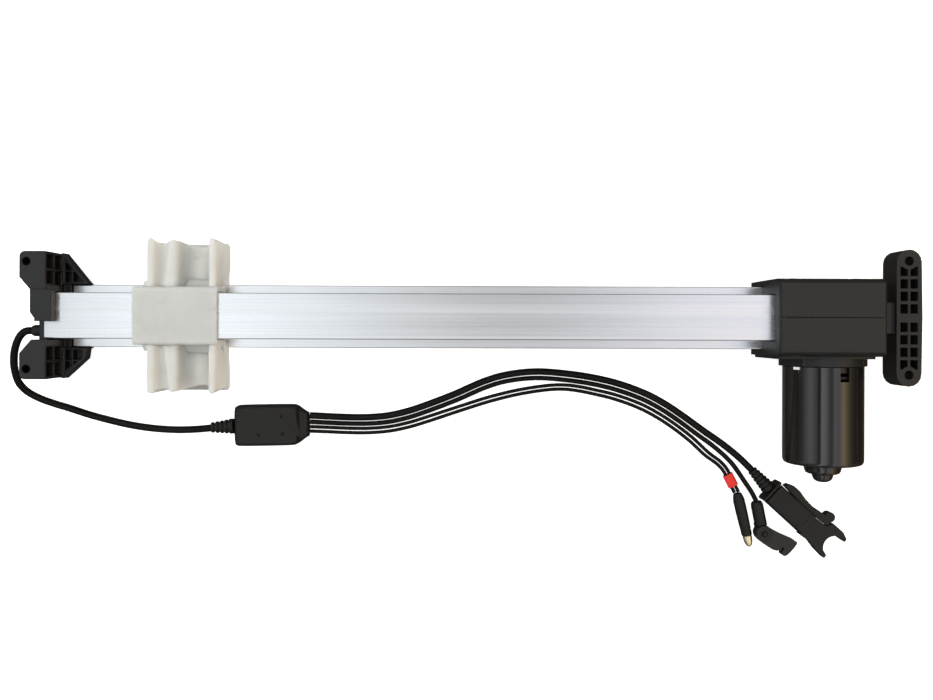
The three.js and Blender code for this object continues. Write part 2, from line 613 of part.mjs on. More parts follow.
function sliderBlock() {
  const { front, rear, top, halfWidth, skirtHalfWidth } = SLIDER;
  const skirtTop = 36;
  const base = 16.5;
  const half = [
    [skirtHalfWidth, base], [skirtHalfWidth, skirtTop - 2], [skirtHalfWidth - 1.5, skirtTop],
    [halfWidth, skirtTop + 5], [halfWidth, top - 3], [halfWidth - 0.9, top - 0.9], [halfWidth - 3, top],
  ];
  const section = [...half, ...half.map(([y, z]) => [-y, z]).reverse()];
  const saddle = prism('x', section, front, rear)
    .intersect(prism('y', roundedRectangle(front, rear, 0, top, 2.5), -40, 40));
  const whole = union([saddle, wing(), mirrored(wing()), skid(), mirrored(skid())]);
  return cut(whole, [
    railEnvelope(front - 1, rear + 1, 0.5),
    block([NUT.front + 4.5, NUT.rear - 4.5], [-8.4, 8.4], [19.7, RAIL.bottom]),
  ]);
}

function driveNut() {
  const { front, rear, halfWidth, top } = NUT;
  const body = block([front, rear], [-halfWidth, halfWidth], [AXIS_HEIGHT - 9, top]);
  const neck = block([front + 5, rear - 5], [-8, 8], [20.1, AXIS_HEIGHT - 8]);
  return body.add(neck).subtract(rod('x', [0, AXIS_HEIGHT], SCREW.radius + GAP, front - 1, rear + 1));
}

// ---------------------------------------------------------------- inside the rail

function limitSwitch(front) {
  const base = block([front, front + 20], [9.3, 14.3], [38, 48]);
  const lever = block([front + 3, front + 16], [10.5, 13], [48, 49]);
  return base.add(lever);
}

// ---------------------------------------------------------------- leads

// A tube through hand-set points [x, y, height].
function lead(route, diameter, steps, sides = 8) {
  const curve = new THREE.CatmullRomCurve3(route.map((p) => new THREE.Vector3(...p)), false, 'centripetal');
  const circle = new THREE.Shape();
  circle.absarc(0, 0, diameter / 2, 0, 2 * Math.PI);
  const geometry = new THREE.ExtrudeGeometry(circle, { steps, extrudePath: curve, curveSegments: sides / 2 });
  return solid(geometry);
}

const MAIN_ROUTE = [
  [-650.6, -11.3, 46], [-656, -12, 45.4], [-662, -17, 42.5], [-667, -25, 38], [-670.5, -34, 32.5],
  [-672.5, -43, 26.5], [-672.5, -52, 20], [-669, -59, 14], [-662, -64.5, 9], [-652, -69, 5.5],
  [-640, -73, 3.6], [-625, -78, 2.9], [-610, -82, 2.9], [-594, -85.7, 2.9], [-576, -88.5, 2.9],
  [-557, -89.8, 2.9], [-541, -89.4, 3.6], [-527.2, -88, 6],
];
const DIN_ROUTE = [
  [-448.9, -77.8, 6], [-436, -78.6, 4.4], [-420, -79.4, 2.8], [-404, -79.4, 2.8], [-389, -78.2, 2.8],
  [-374, -75, 2.8], [-360, -70.5, 2.8], [-336, -61.3, 2.8], [-311, -50.4, 2.8], [-295, -45.6, 2.8],
  [-271, -42.7, 2.8], [-246, -44.2, 2.8], [-222, -47.8, 2.8], [-203, -52.5, 2.8], [-182, -60.3, 2.8],
  [-167, -68.3, 2.8], [-152, -78.3, 2.8], [-138, -88.4, 2.8], [-121, -100.3, 3.4], [-109, -110.2, 5],
  [-100, -119.2, 7],
];
const ANGLED_ROUTE = [
  [-448.9, -82.9, 5.5], [-436, -83.7, 3.6], [-420, -84.5, 2], [-403, -84.5, 2], [-387.8, -83.2, 2],
  [-372.4, -79.9, 2], [-358.1, -75.2, 2], [-334, -66, 2], [-308.7, -55, 2], [-293.4, -50.5, 2],
  [-271, -47.9, 2], [-247, -49.3, 2], [-223.2, -52.8, 2], [-204.7, -57.4, 2], [-184.2, -64.9, 2],
  [-169.7, -72.6, 2], [-155, -82.4, 2], [-142, -92, 2], [-127.4, -102.6, 2], [-114.2, -114.9, 2.2],
  [-104, -129.6, 3.5],
  [-98.6, -138, 4.6], [-95.5, -144.3, 5.1],
];
const WIRE_A_ROUTE = [
  [-448.9, -86.8, 5], [-436, -87.5, 3], [-420, -88.3, 1.6], [-402.5, -88.3, 1.6], [-387, -87, 1.6],
  [-371, -83.6, 1.6], [-356.3, -79, 1.6], [-331.5, -70.8, 1.6], [-305.5, -62.6, 1.6], [-281, -56.8, 1.6],
  [-257, -53.5, 1.6], [-246, -53.4, 1.6], [-235, -54.7, 1.6], [-224, -56.9, 1.6], [-206, -61.2, 1.6],
  [-185.9, -68.5, 1.6], [-172, -75.8, 1.6], [-157.6, -85.3, 1.6], [-145, -95, 1.6], [-132, -107, 1.6],
  [-122.8, -113.9, 1.8], [-117.8, -119.7, 2.3], [-113.8, -127.8, 2.7], [-108.9, -137.6, 3.2],
];
const WIRE_B_ROUTE = [
  [-448.9, -90.3, 5], [-436, -91, 3], [-420, -91.8, 1.6], [-402, -91.8, 1.6], [-386, -90.4, 1.6],
  [-370, -87, 1.6], [-355, -82.4, 1.6], [-330.3, -74.1, 1.6], [-304.3, -65.9, 1.6], [-280, -60.1, 1.6],
  [-257, -56.9, 1.6], [-246, -56.8, 1.6], [-235.5, -58.1, 1.6], [-224.8, -60.2, 1.6], [-207.2, -64.5, 1.6],
  [-187.4, -71.7, 1.6], [-173.8, -78.8, 1.6], [-159.8, -88, 1.6], [-147.4, -97.6, 1.6], [-135, -109, 1.6],
  [-125.4, -116, 1.8], [-120.7, -121.2, 2.3], [-116.7, -129.2, 2.7], [-112.05, -138.3, 3.2],
];
const HARNESS_ROUTE = [
  [-635.8, -11.3, 46], [-630, -11.8, 47.5], [-618, -12.3, 50], [-500, -12.3, 50], [-380, -12.3, 50],
  [-260, -12.3, 50], [-140, -12.3, 50], [-104, -12.3, 50], [-86.4, -12.3, 50],
];

// ---------------------------------------------------------------- pieces on the lead

const BOX = { length: 49, halfWidth: 16.3, height: 13 };
const DIN = { length: 37, turn: -0.74, at: [-84.3, -136.8, 0] };
const ANGLED = { reach: 26.7, turn: -1.372, at: [-95.6, -143.4, 0] };

// The moulded junction box, with a lower, tapered nose on the +X end and three dimples on top.
function junctionBox() {
  const { length, halfWidth, height } = BOX;
  const edge = 1.6;
  const foot = 0.2;
  const noseEnd = 58.5;
  const noseHalf = 10;
  const outline = prism('z', [
    [0, 3 - halfWidth], [3, -halfWidth], [length, -halfWidth], [noseEnd - 2, -noseHalf], [noseEnd, -noseHalf + 1],
    [noseEnd, noseHalf - 1], [noseEnd - 2, noseHalf], [length, halfWidth], [3, halfWidth], [0, halfWidth - 3],
  ], foot, height);
  const crown = prism('x', [
    [-halfWidth, foot + edge], [edge - halfWidth, foot], [halfWidth - edge, foot], [halfWidth, foot + edge],
    [halfWidth, height - 2 * edge], [halfWidth - edge, height], [edge - halfWidth, height],
    [-halfWidth, height - 2 * edge],
  ], -1, noseEnd + 1);
  const side = prism('y', [
    [0, foot], [noseEnd, foot], [noseEnd, height - 5], [noseEnd - 1, height - 4], [length + 3, height - 4],
    [length, height], [edge, height], [0, height - edge],
  ], -halfWidth - 1, halfWidth + 1);
  const dimplePlaces = [[38, 7], [20, -7], [38.8, -6.4]];
  const dimples = dimplePlaces.map((at) => rod('z', at, 1.4, height - 1.5, height + 1, 12));
  return cut(outline.intersect(crown).intersect(side), dimples);
}

// A ribbed, tapered sleeve about its own +X axis, between two radii.
function ribbedSleeve(length, fromRadius, toRadius, ribs) {
  const profile = [[0, 0]];
  const pitch = length / ribs;
  for (let i = 0; i < ribs; i += 1) {
    const radius = THREE.MathUtils.lerp(fromRadius, toRadius, i / Math.max(1, ribs - 1));
    profile.push([radius, i * pitch], [radius, (i + 0.6) * pitch]);
    if (i < ribs - 1) profile.push([radius - 0.8, (i + 0.62) * pitch], [radius - 0.8, (i + 0.98) * pitch]);
  }
  profile.push([toRadius, length], [0, length]);
  return turned('x', [0, 0], profile, 10);
}

// The power plug's body, with a wider rim at its lead end.
function dinPlugBody() {
  const body = prism('x', roundedRectangle(-8.7, 8.7, 0.2, 15.4, 2.6), 0, DIN.length);
  const rim = prism('x', roundedRectangle(-9.4, 10.1, 0.2, 15.8, 3), -2.6, 0.2);
  return body.add(rim);
}

// The forked locking clip on the plug's end: two unequal prongs with a round notch between them.
function dinForkClip() {
  const start = DIN.length + GAP;
  const shape = new THREE.Shape();
  shape.moveTo(start, -9.8);
  shape.lineTo(start + 9.5, -8.6);
  shape.lineTo(start + 18, -10.2);
  shape.lineTo(start + 27.5, -10.8);
  shape.lineTo(start + 27.3, -7.6);
  shape.lineTo(start + 22.6, -6.4);
  shape.quadraticCurveTo(start + 18.8, -3, start + 19, 1.6);
  shape.quadraticCurveTo(start + 19.4, 6.4, start + 23, 8.6);
  shape.lineTo(start + 31, 9.6);
  shape.lineTo(start + 30.4, 12.4);
  shape.lineTo(start + 25, 14.6);
  shape.lineTo(start + 14, 14.4);
  shape.lineTo(start + 12, 9.4);
  shape.lineTo(start, 8.2);
  return prism('z', shape, 3, 11.5);
}

// The sprung lever along the plug's side, with a round knob at its end.
function dinLever() {
  const arm = prism('z', [
    [4, 10.4], [9, 10.1], [19, 9.1], [37, 9.1], [46, 9.6], [48.6, 9.9], [49.4, 10.9], [49.4, 14.6], [46, 14.6],
    [40, 14.6], [30, 13.2], [22, 13.8], [15, 15.4], [9, 15.2], [5, 13.4],
  ], 3.5, 11.5);
  const knob = rod('z', [46.4, 16.2], 4, 3.5, 11.5, 16);
  return arm.add(knob);
}

// The angled plug's barrel with the foot and pin that its clip turns on.
function angledPlugBody() {
  const reach = ANGLED.reach;
  const barrel = turned('x', [0, 5.2], [
    [0, 1.5], [3.6, 1.5], [4.4, 2.6], [4.8, 5], [4.8, reach - 5.5], [0, reach - 5.5],
  ], 18);
  const foot = rod('z', [reach, 0], 6.2, 0.3, 5.6, 24);
  const bridge = block([reach - 8, reach], [-4.2, 4.2], [0.4, 5.6]);
  const pin = rod('z', [reach, 0], 1.6, 5, 11.6, 14);
  const room = rod('z', [reach, 0], 7.2, 5.6, 12, 24).subtract(rod('z', [reach, 0], 1.6, 5, 13, 14));
  return cut(union([barrel, foot, bridge, pin]), [room]);
}

// The locking clip of the angled plug, about its pin: a disc and a hooked arm.
function angledPlugClip() {
  const disc = rod('z', [0, 0], 6.6, 5.9, 10.8, 28);
  const arm = prism('z', [
    [-4.6, -4.8], [1.4, -9.2], [8, -13.2], [12.8, -12.8], [14.4, -10.2], [16.2, -11.2], [13.8, -14.4],
    [14, -17.2], [18, -17.2], [25.2, -8.8], [26, -5.6], [13.4, -0.4], [5.2, 4.2],
  ], 2.5, 10.8);
  const pinHole = rod('z', [0, 0], 1.9, 2, 12, 14);
  const footRoom = rod('z', [0, 0], 6.9, 2, 5.9, 28);
  return cut(disc.add(arm), [footRoom, pinHole]);
}

function smallPlugBody() {
  return turned('x', [0, 4.6], [
    [0, -1], [3.3, -1], [4, 1.6], [4.5, 5], [4.5, 14], [4.1, 31], [3.8, 33], [0, 33],
  ], 18);
}

function smallPlugTip() {
  return turned('x', [0, 4.6], [
    [0, 33.3], [3.5, 33.3], [3.5, 36.5], [2.7, 40], [1.4, 42.3], [0, 42.3],
  ], 16);
}

// A flat sleeve that ties the two thin wires together.
function redBand() {
  const outer = roundedRectangle(-4.1, 4.1, 0.2, 5.2, 2.4);
  const inner = roundedRectangle(-3.5, 3.5, 0.8, 4.6, 1.8);
  return prism('x', outer, -5.2, 5.2).subtract(prism('x', inner, -6, 6));
}

// ---------------------------------------------------------------- assembly

add('guide_rail', guideRail(), ALUMINIUM);
add('front_bracket', frontBracket(), BLACK_PLASTIC);
add('front_screw_bush', frontScrewBush(), BRASS);
add('cable_gland', cableGland(), BLACK_PLASTIC);

const housingWhole = housing();
add('gear_housing_far_half', housingFarHalf(housingWhole), BLACK_PLASTIC);
add('gear_housing_motor_half', housingMotorHalf(housingWhole), BLACK_PLASTIC);
for (const [name, x, z] of HOUSING_SCREWS) {
  const seat = HOUSING.halfWidth - SCREW_HEAD.recess + GAP;
  add(name, headedScrew([x, z], SCREW_HEAD.radius, seat, seat + SCREW_HEAD.height, 1.7, -15), STEEL);
}
add('rear_mounting_head', rearMountingHead(), BLACK_PLASTIC);

add('lead_screw', leadScrew(), STEEL);
add('worm_wheel', wormWheel(), AMBER_PLASTIC);
add('wheel_lock_nut', lockNut(), STEEL);
add('screw_bearing_front', bearing(BEARING.frontAt), STEEL);
add('screw_bearing_rear', bearing(BEARING.rearAt), STEEL);

add('motor_can', motorCan(), GLOSS_BLACK);
add('can_tab', canTab(), STEEL);
add('motor_front_plate', motorFrontPlate(), STEEL);
for (const [name, z] of MOTOR_SCREWS) {
  const screw = turned('y', [MOTOR_X, z], [
    [0, -40.6], [1.8, -40.6], [1.8, -24.7], [3.4, -24.7], [3.4, -22.2], [0, -22.2],
  ], 14);
  add(name, screw, STEEL);
}
add('magnet_front', magnet(-1), FERRITE);
add('magnet_rear', magnet(1), FERRITE);
add('brush_card', brushCard(), AMBER_PLASTIC);
add('brush_front', brush(-1), COPPER);
add('brush_rear', brush(1), COPPER);
add('motor_bearing_front', shaftBearing(-29.2, -24.2), STEEL);
add('motor_bearing_end', shaftBearing(-117.5, -112.5), STEEL);
add('worm_bearing', shaftBearing(13, 18), STEEL);

add('motor_shaft', rod('y', [MOTOR_X, MOTOR_HEIGHT], SHAFT_RADIUS, -120.5, 17.8, 16), STEEL);
add('armature_core', armatureCore(), STEEL);
add('armature_windings_front', windings(-61.6, -53), COPPER);
add('armature_windings_end', windings(-105, -96.4), COPPER);
add('commutator', ring('y', [MOTOR_X, MOTOR_HEIGHT], SHAFT_RADIUS + GAP, 9, -52.6, -42.5, 16), COPPER);
add('worm', worm(), STEEL);

add('slider_block', sliderBlock(), WHITE_POM);
add('drive_nut', driveNut(), AMBER_PLASTIC);

add('limit_switch_front', limitSwitch(-629), BLACK_PLASTIC);
add('limit_switch_rear', limitSwitch(-130), BLACK_PLASTIC);
add('rail_harness', lead(HARNESS_ROUTE, 3.4, 20), CABLE_BLACK);
add('motor_connector', block([-86, -76], [-22, -9], [44, 55]), WHITE_POM);

add('main_cable', lead(MAIN_ROUTE, CABLE.main, 20, 10), CABLE_BLACK);
add('din_cable', lead(DIN_ROUTE, CABLE.din, 26, 8), CABLE_BLACK);
add('angled_plug_cable', lead(ANGLED_ROUTE, CABLE.angled, 28), CABLE_BLACK);
add('small_plug_wire_a', lead(WIRE_A_ROUTE, CABLE.wire, 36), CABLE_BLACK);
add('small_plug_wire_b', lead(WIRE_B_ROUTE, CABLE.wire, 36), CABLE_BLACK);

const boxTurn = 0.02;
place('junction_box', junctionBox(), BLACK_PLASTIC, [-508, -86, 0], boxTurn);
place('cable_strain_relief', ribbedSleeve(18, 4.2, 6, 5), CABLE_BLACK, [-526.8, -87.6, 6.4], 0.07);

place('din_plug_strain_relief', ribbedSleeve(19.6, 3.8, 5.6, 5), CABLE_BLACK, [-99.6, -119.6, 7.7], -0.83);
place('din_plug_body', dinPlugBody(), BLACK_PLASTIC, DIN.at, DIN.turn);
place('din_plug_fork_clip', dinForkClip(), BLACK_PLASTIC, DIN.at, DIN.turn);
place('din_plug_lever', dinLever(), BLACK_PLASTIC, DIN.at, DIN.turn);

const clipPin = [
  ANGLED.at[0] + ANGLED.reach * Math.cos(ANGLED.turn), ANGLED.at[1] + ANGLED.reach * Math.sin(ANGLED.turn), 0,
];
place('angled_plug_body', angledPlugBody(), BLACK_PLASTIC, ANGLED.at, ANGLED.turn);
place('angled_plug_clip', angledPlugClip(), BLACK_PLASTIC, clipPin, 0);

const smallTurn = -1.34;
place('small_plug_body', smallPlugBody(), BLACK_PLASTIC, [-110, -139.5, 0], smallTurn);
place('small_plug_tip', smallPlugTip(), BRASS, [-110, -139.5, 0], smallTurn);
place('red_band', redBand(), RED_SLEEVE, [-115.2, -128.5, 0], -1.107);

export default actuator;
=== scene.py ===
import math

import bmesh
import bpy
from mathutils import Matrix, Vector


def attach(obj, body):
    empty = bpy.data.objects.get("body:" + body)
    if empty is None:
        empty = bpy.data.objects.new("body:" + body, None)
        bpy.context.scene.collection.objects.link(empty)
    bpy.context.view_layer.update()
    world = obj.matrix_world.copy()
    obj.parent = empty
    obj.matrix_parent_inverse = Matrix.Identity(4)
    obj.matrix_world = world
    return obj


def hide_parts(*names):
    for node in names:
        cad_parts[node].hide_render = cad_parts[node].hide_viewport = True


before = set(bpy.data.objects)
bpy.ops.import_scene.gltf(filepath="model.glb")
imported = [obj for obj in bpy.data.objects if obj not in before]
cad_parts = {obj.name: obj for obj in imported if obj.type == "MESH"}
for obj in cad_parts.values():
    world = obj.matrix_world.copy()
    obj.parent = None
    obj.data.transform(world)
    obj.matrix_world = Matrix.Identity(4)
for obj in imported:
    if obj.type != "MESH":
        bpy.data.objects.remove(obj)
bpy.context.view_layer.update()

# Lengths below are millimetres over the bench, as [x, y, height]. The frame's origin is on
# the rear head's bolting face, so heights drop by that face's height over the bench.
MM = 0.001
HEAD_TOP = 57.0
BENCH = -HEAD_TOP * MM


# ---------------------------------------------------------------- camera

# The camera looks straight down from above the rail's middle.
CAMERA_AT = (-325.3, -9.84, 742.0)
SENSOR = 36.0
# The focal length and the shift up, as shares of the picture's width, and the roll in radians.
FOCAL_PER_WIDTH = 0.9967846
SHIFT_UP = -0.0214362
ROLL = 0.0033


def make_camera():
    data = bpy.data.cameras.new("camera")
    data.sensor_width = SENSOR
    data.lens = SENSOR * FOCAL_PER_WIDTH
    data.shift_y = SHIFT_UP
    data.clip_start = 0.01
    data.clip_end = 10
    camera = bpy.data.objects.new("camera", data)
    camera.location = bench_point(*CAMERA_AT)
    camera.rotation_euler = (0, 0, ROLL)
    bpy.context.scene.collection.objects.link(camera)
    bpy.context.scene.camera = camera


def bench_point(x, y, height):
    """A place over the bench, in millimetres, as a point in the frame's metres."""
    return Vector((x * MM, y * MM, (height - HEAD_TOP) * MM))


make_camera()


# ---------------------------------------------------------------- shader helpers

def new_material(name, roughness, metallic=0.0):
    made = bpy.data.materials.new(name)
    made.use_nodes = True
    shader = made.node_tree.nodes["Principled BSDF"]
    shader.inputs["Roughness"].default_value = roughness
    shader.inputs["Metallic"].default_value = metallic
    return made, made.node_tree, shader


def feed(tree, shader, socket, value):
    """Links a value to one of the shader's sockets."""
    tree.links.new(value, shader.inputs[socket])


def place_on(tree, stretch):
    """Object coordinates in metres, stretched so that a pattern follows one direction."""
    coords = tree.nodes.new("ShaderNodeTexCoord")
    mapping = tree.nodes.new("ShaderNodeMapping")
    mapping.inputs["Scale"].default_value = stretch
    tree.links.new(coords.outputs["Object"], mapping.inputs["Vector"])
    return mapping.outputs["Vector"]


def noise(tree, place, scale, detail=3.0, rough=0.55):
    node = tree.nodes.new("ShaderNodeTexNoise")
    node.inputs["Scale"].default_value = scale
    node.inputs["Detail"].default_value = detail
    node.inputs["Roughness"].default_value = rough
    tree.links.new(place, node.inputs["Vector"])
    return node.outputs["Fac"]


def ramp(tree, value, stops):
    node = tree.nodes.new("ShaderNodeValToRGB")
    elements = node.color_ramp.elements
    elements[0].position, elements[0].color = stops[0][0], (*stops[0][1], 1)
    elements[1].position, elements[1].color = stops[-1][0], (*stops[-1][1], 1)
    for position, colour in stops[1:-1]:
        elements.new(position).color = (*colour, 1)
    tree.links.new(value, node.inputs["Fac"])
    return node.outputs["Color"]


def spread(tree, value, low, high, to_low, to_high):
    node = tree.nodes.new("ShaderNodeMapRange")
    node.inputs["From Min"].default_value = low
    node.inputs["From Max"].default_value = high
    node.inputs["To Min"].default_value = to_low
    node.inputs["To Max"].default_value = to_high
    tree.links.new(value, node.inputs["Value"])
    return node.outputs["Result"]


def multiply(tree, first, second):
    node = tree.nodes.new("ShaderNodeMix")
    node.data_type = "RGBA"
    node.blend_type = "MULTIPLY"
    node.inputs["Factor"].default_value = 1.0
    tree.links.new(first, node.inputs["A"])
    tree.links.new(second, node.inputs["B"])
    return node.outputs["Result"]


def bump(tree, height, distance, strength, below=None):
    node = tree.nodes.new("ShaderNodeBump")
    node.inputs["Distance"].default_value = distance
    node.inputs["Strength"].default_value = strength
    tree.links.new(height, node.inputs["Height"])
    if below is not None:
        tree.links.new(below, node.inputs["Normal"])
    return node.outputs["Normal"]


def shade_of(colour, amount):
    return tuple(min(1.0, c * amount) for c in colour)


def edge_wear_and_highlight(tree, amount):
    """Brighter by an amount on convex edges, from the surface's pointiness: partly rubbing wear, partly a
    painted highlight along the rounded edges.
    """
    geometry = tree.nodes.new("ShaderNodeNewGeometry")
    return ramp(tree, geometry.outputs["Pointiness"], [(0.5, (1, 1, 1)), (0.56, (amount, amount, amount))])


# ---------------------------------------------------------------- materials

# How much paler convex edges are made: partly rubbing wear, partly a painted edge highlight.
EDGE_WEAR_AND_HIGHLIGHT = 1.25


def soft_corners(tree, radius):
    """A normal that rolls over the edges, as a moulded corner does."""
    node = tree.nodes.new("ShaderNodeBevel")
    node.samples = 6
    node.inputs["Radius"].default_value = radius
    return node.outputs["Normal"]


def moulded(name, colour, roughness, grain=0.00004, specular=0.5, corner=0.0):
    """Moulded plastic: fine spark-eroded grain, slow mottling, edges a little paler, partly from rubbing and
    partly as a painted highlight.
    """
    made, tree, shader = new_material(name, roughness)
    place = place_on(tree, (1, 1, 1))
    cloud = noise(tree, place, 38, 4)
    speck = noise(tree, place, 2600, 2)
    tint = ramp(tree, cloud, [(0.3, shade_of(colour, 0.82)), (0.7, shade_of(colour, 1.18))])
    # Convex edges made paler: rubbing wear plus a painted edge highlight.
    feed(tree, shader, "Base Color", multiply(tree, tint, edge_wear_and_highlight(tree, EDGE_WEAR_AND_HIGHLIGHT)))
    feed(tree, shader, "Roughness", spread(tree, cloud, 0.3, 0.7, roughness - 0.05, roughness + 0.06))
    flow = noise(tree, place, 130, 2)
    rolled = soft_corners(tree, corner) if corner else None
    normal = bump(tree, speck, grain, 0.5, rolled)
    feed(tree, shader, "Normal", bump(tree, flow, grain * 2, 0.25, normal))
    shader.inputs["Specular IOR Level"].default_value = specular
    return made


def extruded_aluminium():
    """Drawn aluminium: long die lines of two widths, and a slow change of brightness."""
    made, tree, shader = new_material("extruded_aluminium", 0.28, 1.0)
    coarse = noise(tree, place_on(tree, (0.5, 210, 210)), 1, 3)
    fine = noise(tree, place_on(tree, (3, 1400, 1400)), 1, 2)
    slow = noise(tree, place_on(tree, (7, 30, 30)), 1, 2)
    lines = ramp(tree, coarse, [
        (0.3, (0.80, 0.81, 0.83)), (0.5, (0.90, 0.91, 0.93)), (0.7, (0.95, 0.96, 0.98)),
    ])
    hair = ramp(tree, fine, [(0.25, (0.9, 0.9, 0.9)), (0.6, (1, 1, 1))])
    patch = ramp(tree, slow, [(0.3, (0.94, 0.94, 0.95)), (0.7, (1, 1, 1))])
    feed(tree, shader, "Base Color", multiply(tree, multiply(tree, lines, hair), patch))
    feed(tree, shader, "Roughness", spread(tree, coarse, 0.3, 0.7, 0.22, 0.34))
    normal = bump(tree, coarse, 0.00006, 0.35)
    feed(tree, shader, "Normal", bump(tree, fine, 0.00002, 0.4, normal))
    return made


def acetal():
    """White acetal that lets a little light in, with faint flow clouds and rubbed-in grime."""
    made, tree, shader = new_material("white_acetal", 0.42)
    place = place_on(tree, (1, 1, 1))
    cloud = noise(tree, place, 45, 4)
    tint = ramp(tree, cloud, [
        (0.25, (0.63, 0.632, 0.606)), (0.5, (0.69, 0.694, 0.672)), (0.75, (0.73, 0.735, 0.717)),
    ])
    smear = noise(tree, place_on(tree, (60, 140, 80)), 1, 5, 0.7)
    grime = ramp(tree, smear, [(0.62, (1, 1, 1)), (0.74, (0.86, 0.85, 0.83)), (0.82, (0.6, 0.59, 0.58))])
    feed(tree, shader, "Base Color", multiply(tree, tint, grime))
    feed(tree, shader, "Roughness", spread(tree, cloud, 0.3, 0.7, 0.38, 0.52))
    speck = noise(tree, place, 900, 3)
    wave = noise(tree, place, 70, 2)
    normal = bump(tree, speck, 0.00003, 0.35, soft_corners(tree, 0.0022))
    feed(tree, shader, "Normal", bump(tree, wave, 0.0002, 0.3, normal))
    shader.inputs["Subsurface Weight"].default_value = 0.65
    shader.inputs["Subsurface Radius"].default_value = (0.012, 0.011, 0.0095)
    shader.inputs["Subsurface Scale"].default_value = 1.0
    return made


def enamel():
    """Glossy black enamel on the deep-drawn can, with faint draw lines along the motor."""
    made, tree, shader = new_material("black_enamel", 0.12)
    lines = noise(tree, place_on(tree, (260, 4, 260)), 1, 3)
    orange = noise(tree, place_on(tree, (1, 1, 1)), 420, 2)
    paint = ramp(tree, lines, [(0.3, (0.006, 0.006, 0.007)), (0.7, (0.016, 0.015, 0.014))])
    feed(tree, shader, "Base Color", paint)
    feed(tree, shader, "Roughness", spread(tree, lines, 0.3, 0.7, 0.08, 0.15))
    normal = bump(tree, orange, 0.00003, 0.2)
    feed(tree, shader, "Normal", bump(tree, lines, 0.00006, 0.25, normal))
    shader.inputs["Coat Weight"].default_value = 0.45
    shader.inputs["Coat Roughness"].default_value = 0.07
    return made


def machined(name, colour, roughness, stretch):
    """Turned or drawn metal with tool marks along one direction."""
    made, tree, shader = new_material(name, roughness, 1.0)
    marks = noise(tree, place_on(tree, stretch), 1, 3)
    tint = ramp(tree, marks, [(0.3, shade_of(colour, 0.8)), (0.7, shade_of(colour, 1.1))])
    feed(tree, shader, "Base Color", tint)
    feed(tree, shader, "Roughness", spread(tree, marks, 0.3, 0.7, roughness - 0.06, roughness + 0.1))
    feed(tree, shader, "Normal", bump(tree, marks, 0.00003, 0.4))
    return made


def sheath():
    """Matt PVC cable sheath with the faint lay of the cores showing through."""
    made, tree, shader = new_material("cable_sheath", 0.34)
    place = place_on(tree, (1, 1, 1))
    slow = noise(tree, place, 55, 3)
    fine = noise(tree, place, 1800, 2)
    tint = ramp(tree, slow, [(0.3, (0.002, 0.0016, 0.0014)), (0.7, (0.0045, 0.0036, 0.0031))])
    feed(tree, shader, "Base Color", tint)
    feed(tree, shader, "Roughness", spread(tree, slow, 0.3, 0.7, 0.28, 0.42))
    normal = bump(tree, fine, 0.00003, 0.4)
    feed(tree, shader, "Normal", bump(tree, slow, 0.0004, 0.2, normal))
    shader.inputs["Specular IOR Level"].default_value = 0.17
    return made


def red_sleeve():
    """Shrunk-on sleeve, with a slightly uneven red."""
    made, tree, shader = new_material("red_sleeve", 0.5)
    place = place_on(tree, (1, 1, 1))
    cloud = noise(tree, place, 220, 3)
    tint = ramp(tree, cloud, [(0.3, (0.74, 0.022, 0.016)), (0.7, (0.92, 0.045, 0.03))])
    feed(tree, shader, "Base Color", tint)
    feed(tree, shader, "Normal", bump(tree, noise(tree, place, 1500, 2), 0.00005, 0.4))
    return made


ALUMINIUM = extruded_aluminium()
ACETAL = acetal()
NYLON = moulded("black_nylon", (0.0088, 0.0091, 0.0096), 0.45, specular=0.43, corner=0.0016)
HEAD_NYLON = moulded("rear_head_nylon", (0.0088, 0.0083, 0.0082), 0.47, specular=0.42, corner=0.0008)
PLUG_PVC = moulded("black_plug_pvc", (0.0058, 0.0055, 0.0053), 0.5, 0.00005, 0.34)
ENAMEL = enamel()
CLIP_PVC = moulded("clip_pvc", (0.0092, 0.009, 0.0094), 0.48, 0.00005, 0.42)
SHEATH = sheath()
STEEL = machined("turned_steel", (0.46, 0.46, 0.47), 0.32, (900, 40, 40))
BRIGHT_STEEL = machined("bright_steel", (0.8, 0.8, 0.8), 0.22, (300, 300, 300))
BLACKENED = machined("blackened_steel", (0.05, 0.05, 0.052), 0.42, (400, 400, 400))
SCREW_STEEL = machined("rolled_screw_steel", (0.5, 0.5, 0.5), 0.28, (60, 900, 900))
PLATED = machined("plated_contact", (0.97, 0.86, 0.6), 0.3, (500, 500, 500))
COPPER = machined("enamelled_copper", (0.62, 0.27, 0.13), 0.34, (500, 1500, 500))
AMBER = moulded("amber_acetal", (0.42, 0.25, 0.09), 0.45)
FERRITE = moulded("sintered_ferrite", (0.03, 0.03, 0.032), 0.75, 0.0001)
WHITE_NYLON = moulded("white_connector_nylon", (0.6, 0.59, 0.55), 0.45)
ZINC = moulded("zinc_plated_tab", (0.78, 0.78, 0.77), 0.36)
RED = red_sleeve()


# ---------------------------------------------------------------- mesh helpers

AXES = {
    "x": (Vector((0, 1, 0)), Vector((0, 0, 1)), Vector((1, 0, 0))),
    "y": (Vector((1, 0, 0)), Vector((0, 0, 1)), Vector((0, 1, 0))),
    "z": (Vector((1, 0, 0)), Vector((0, 1, 0)), Vector((0, 0, 1))),
}


def loft(bm, rings, closed=False):
    """Skins closed rings of points, one to the next, and caps the ends unless the rings close up."""
    rows = [[bm.verts.new(p) for p in ring] for ring in rings]
    count = len(rows[0])
    pairs = list(zip(rows, rows[1:]))
    if closed:
        pairs.append((rows[-1], rows[0]))
    for low, high in pairs:
        for i in range(count):
            j = (i + 1) % count
            bm.faces.new((low[i], low[j], high[j], high[i]))
    if not closed:
        bm.faces.new(list(reversed(rows[0])))
        bm.faces.new(rows[-1])


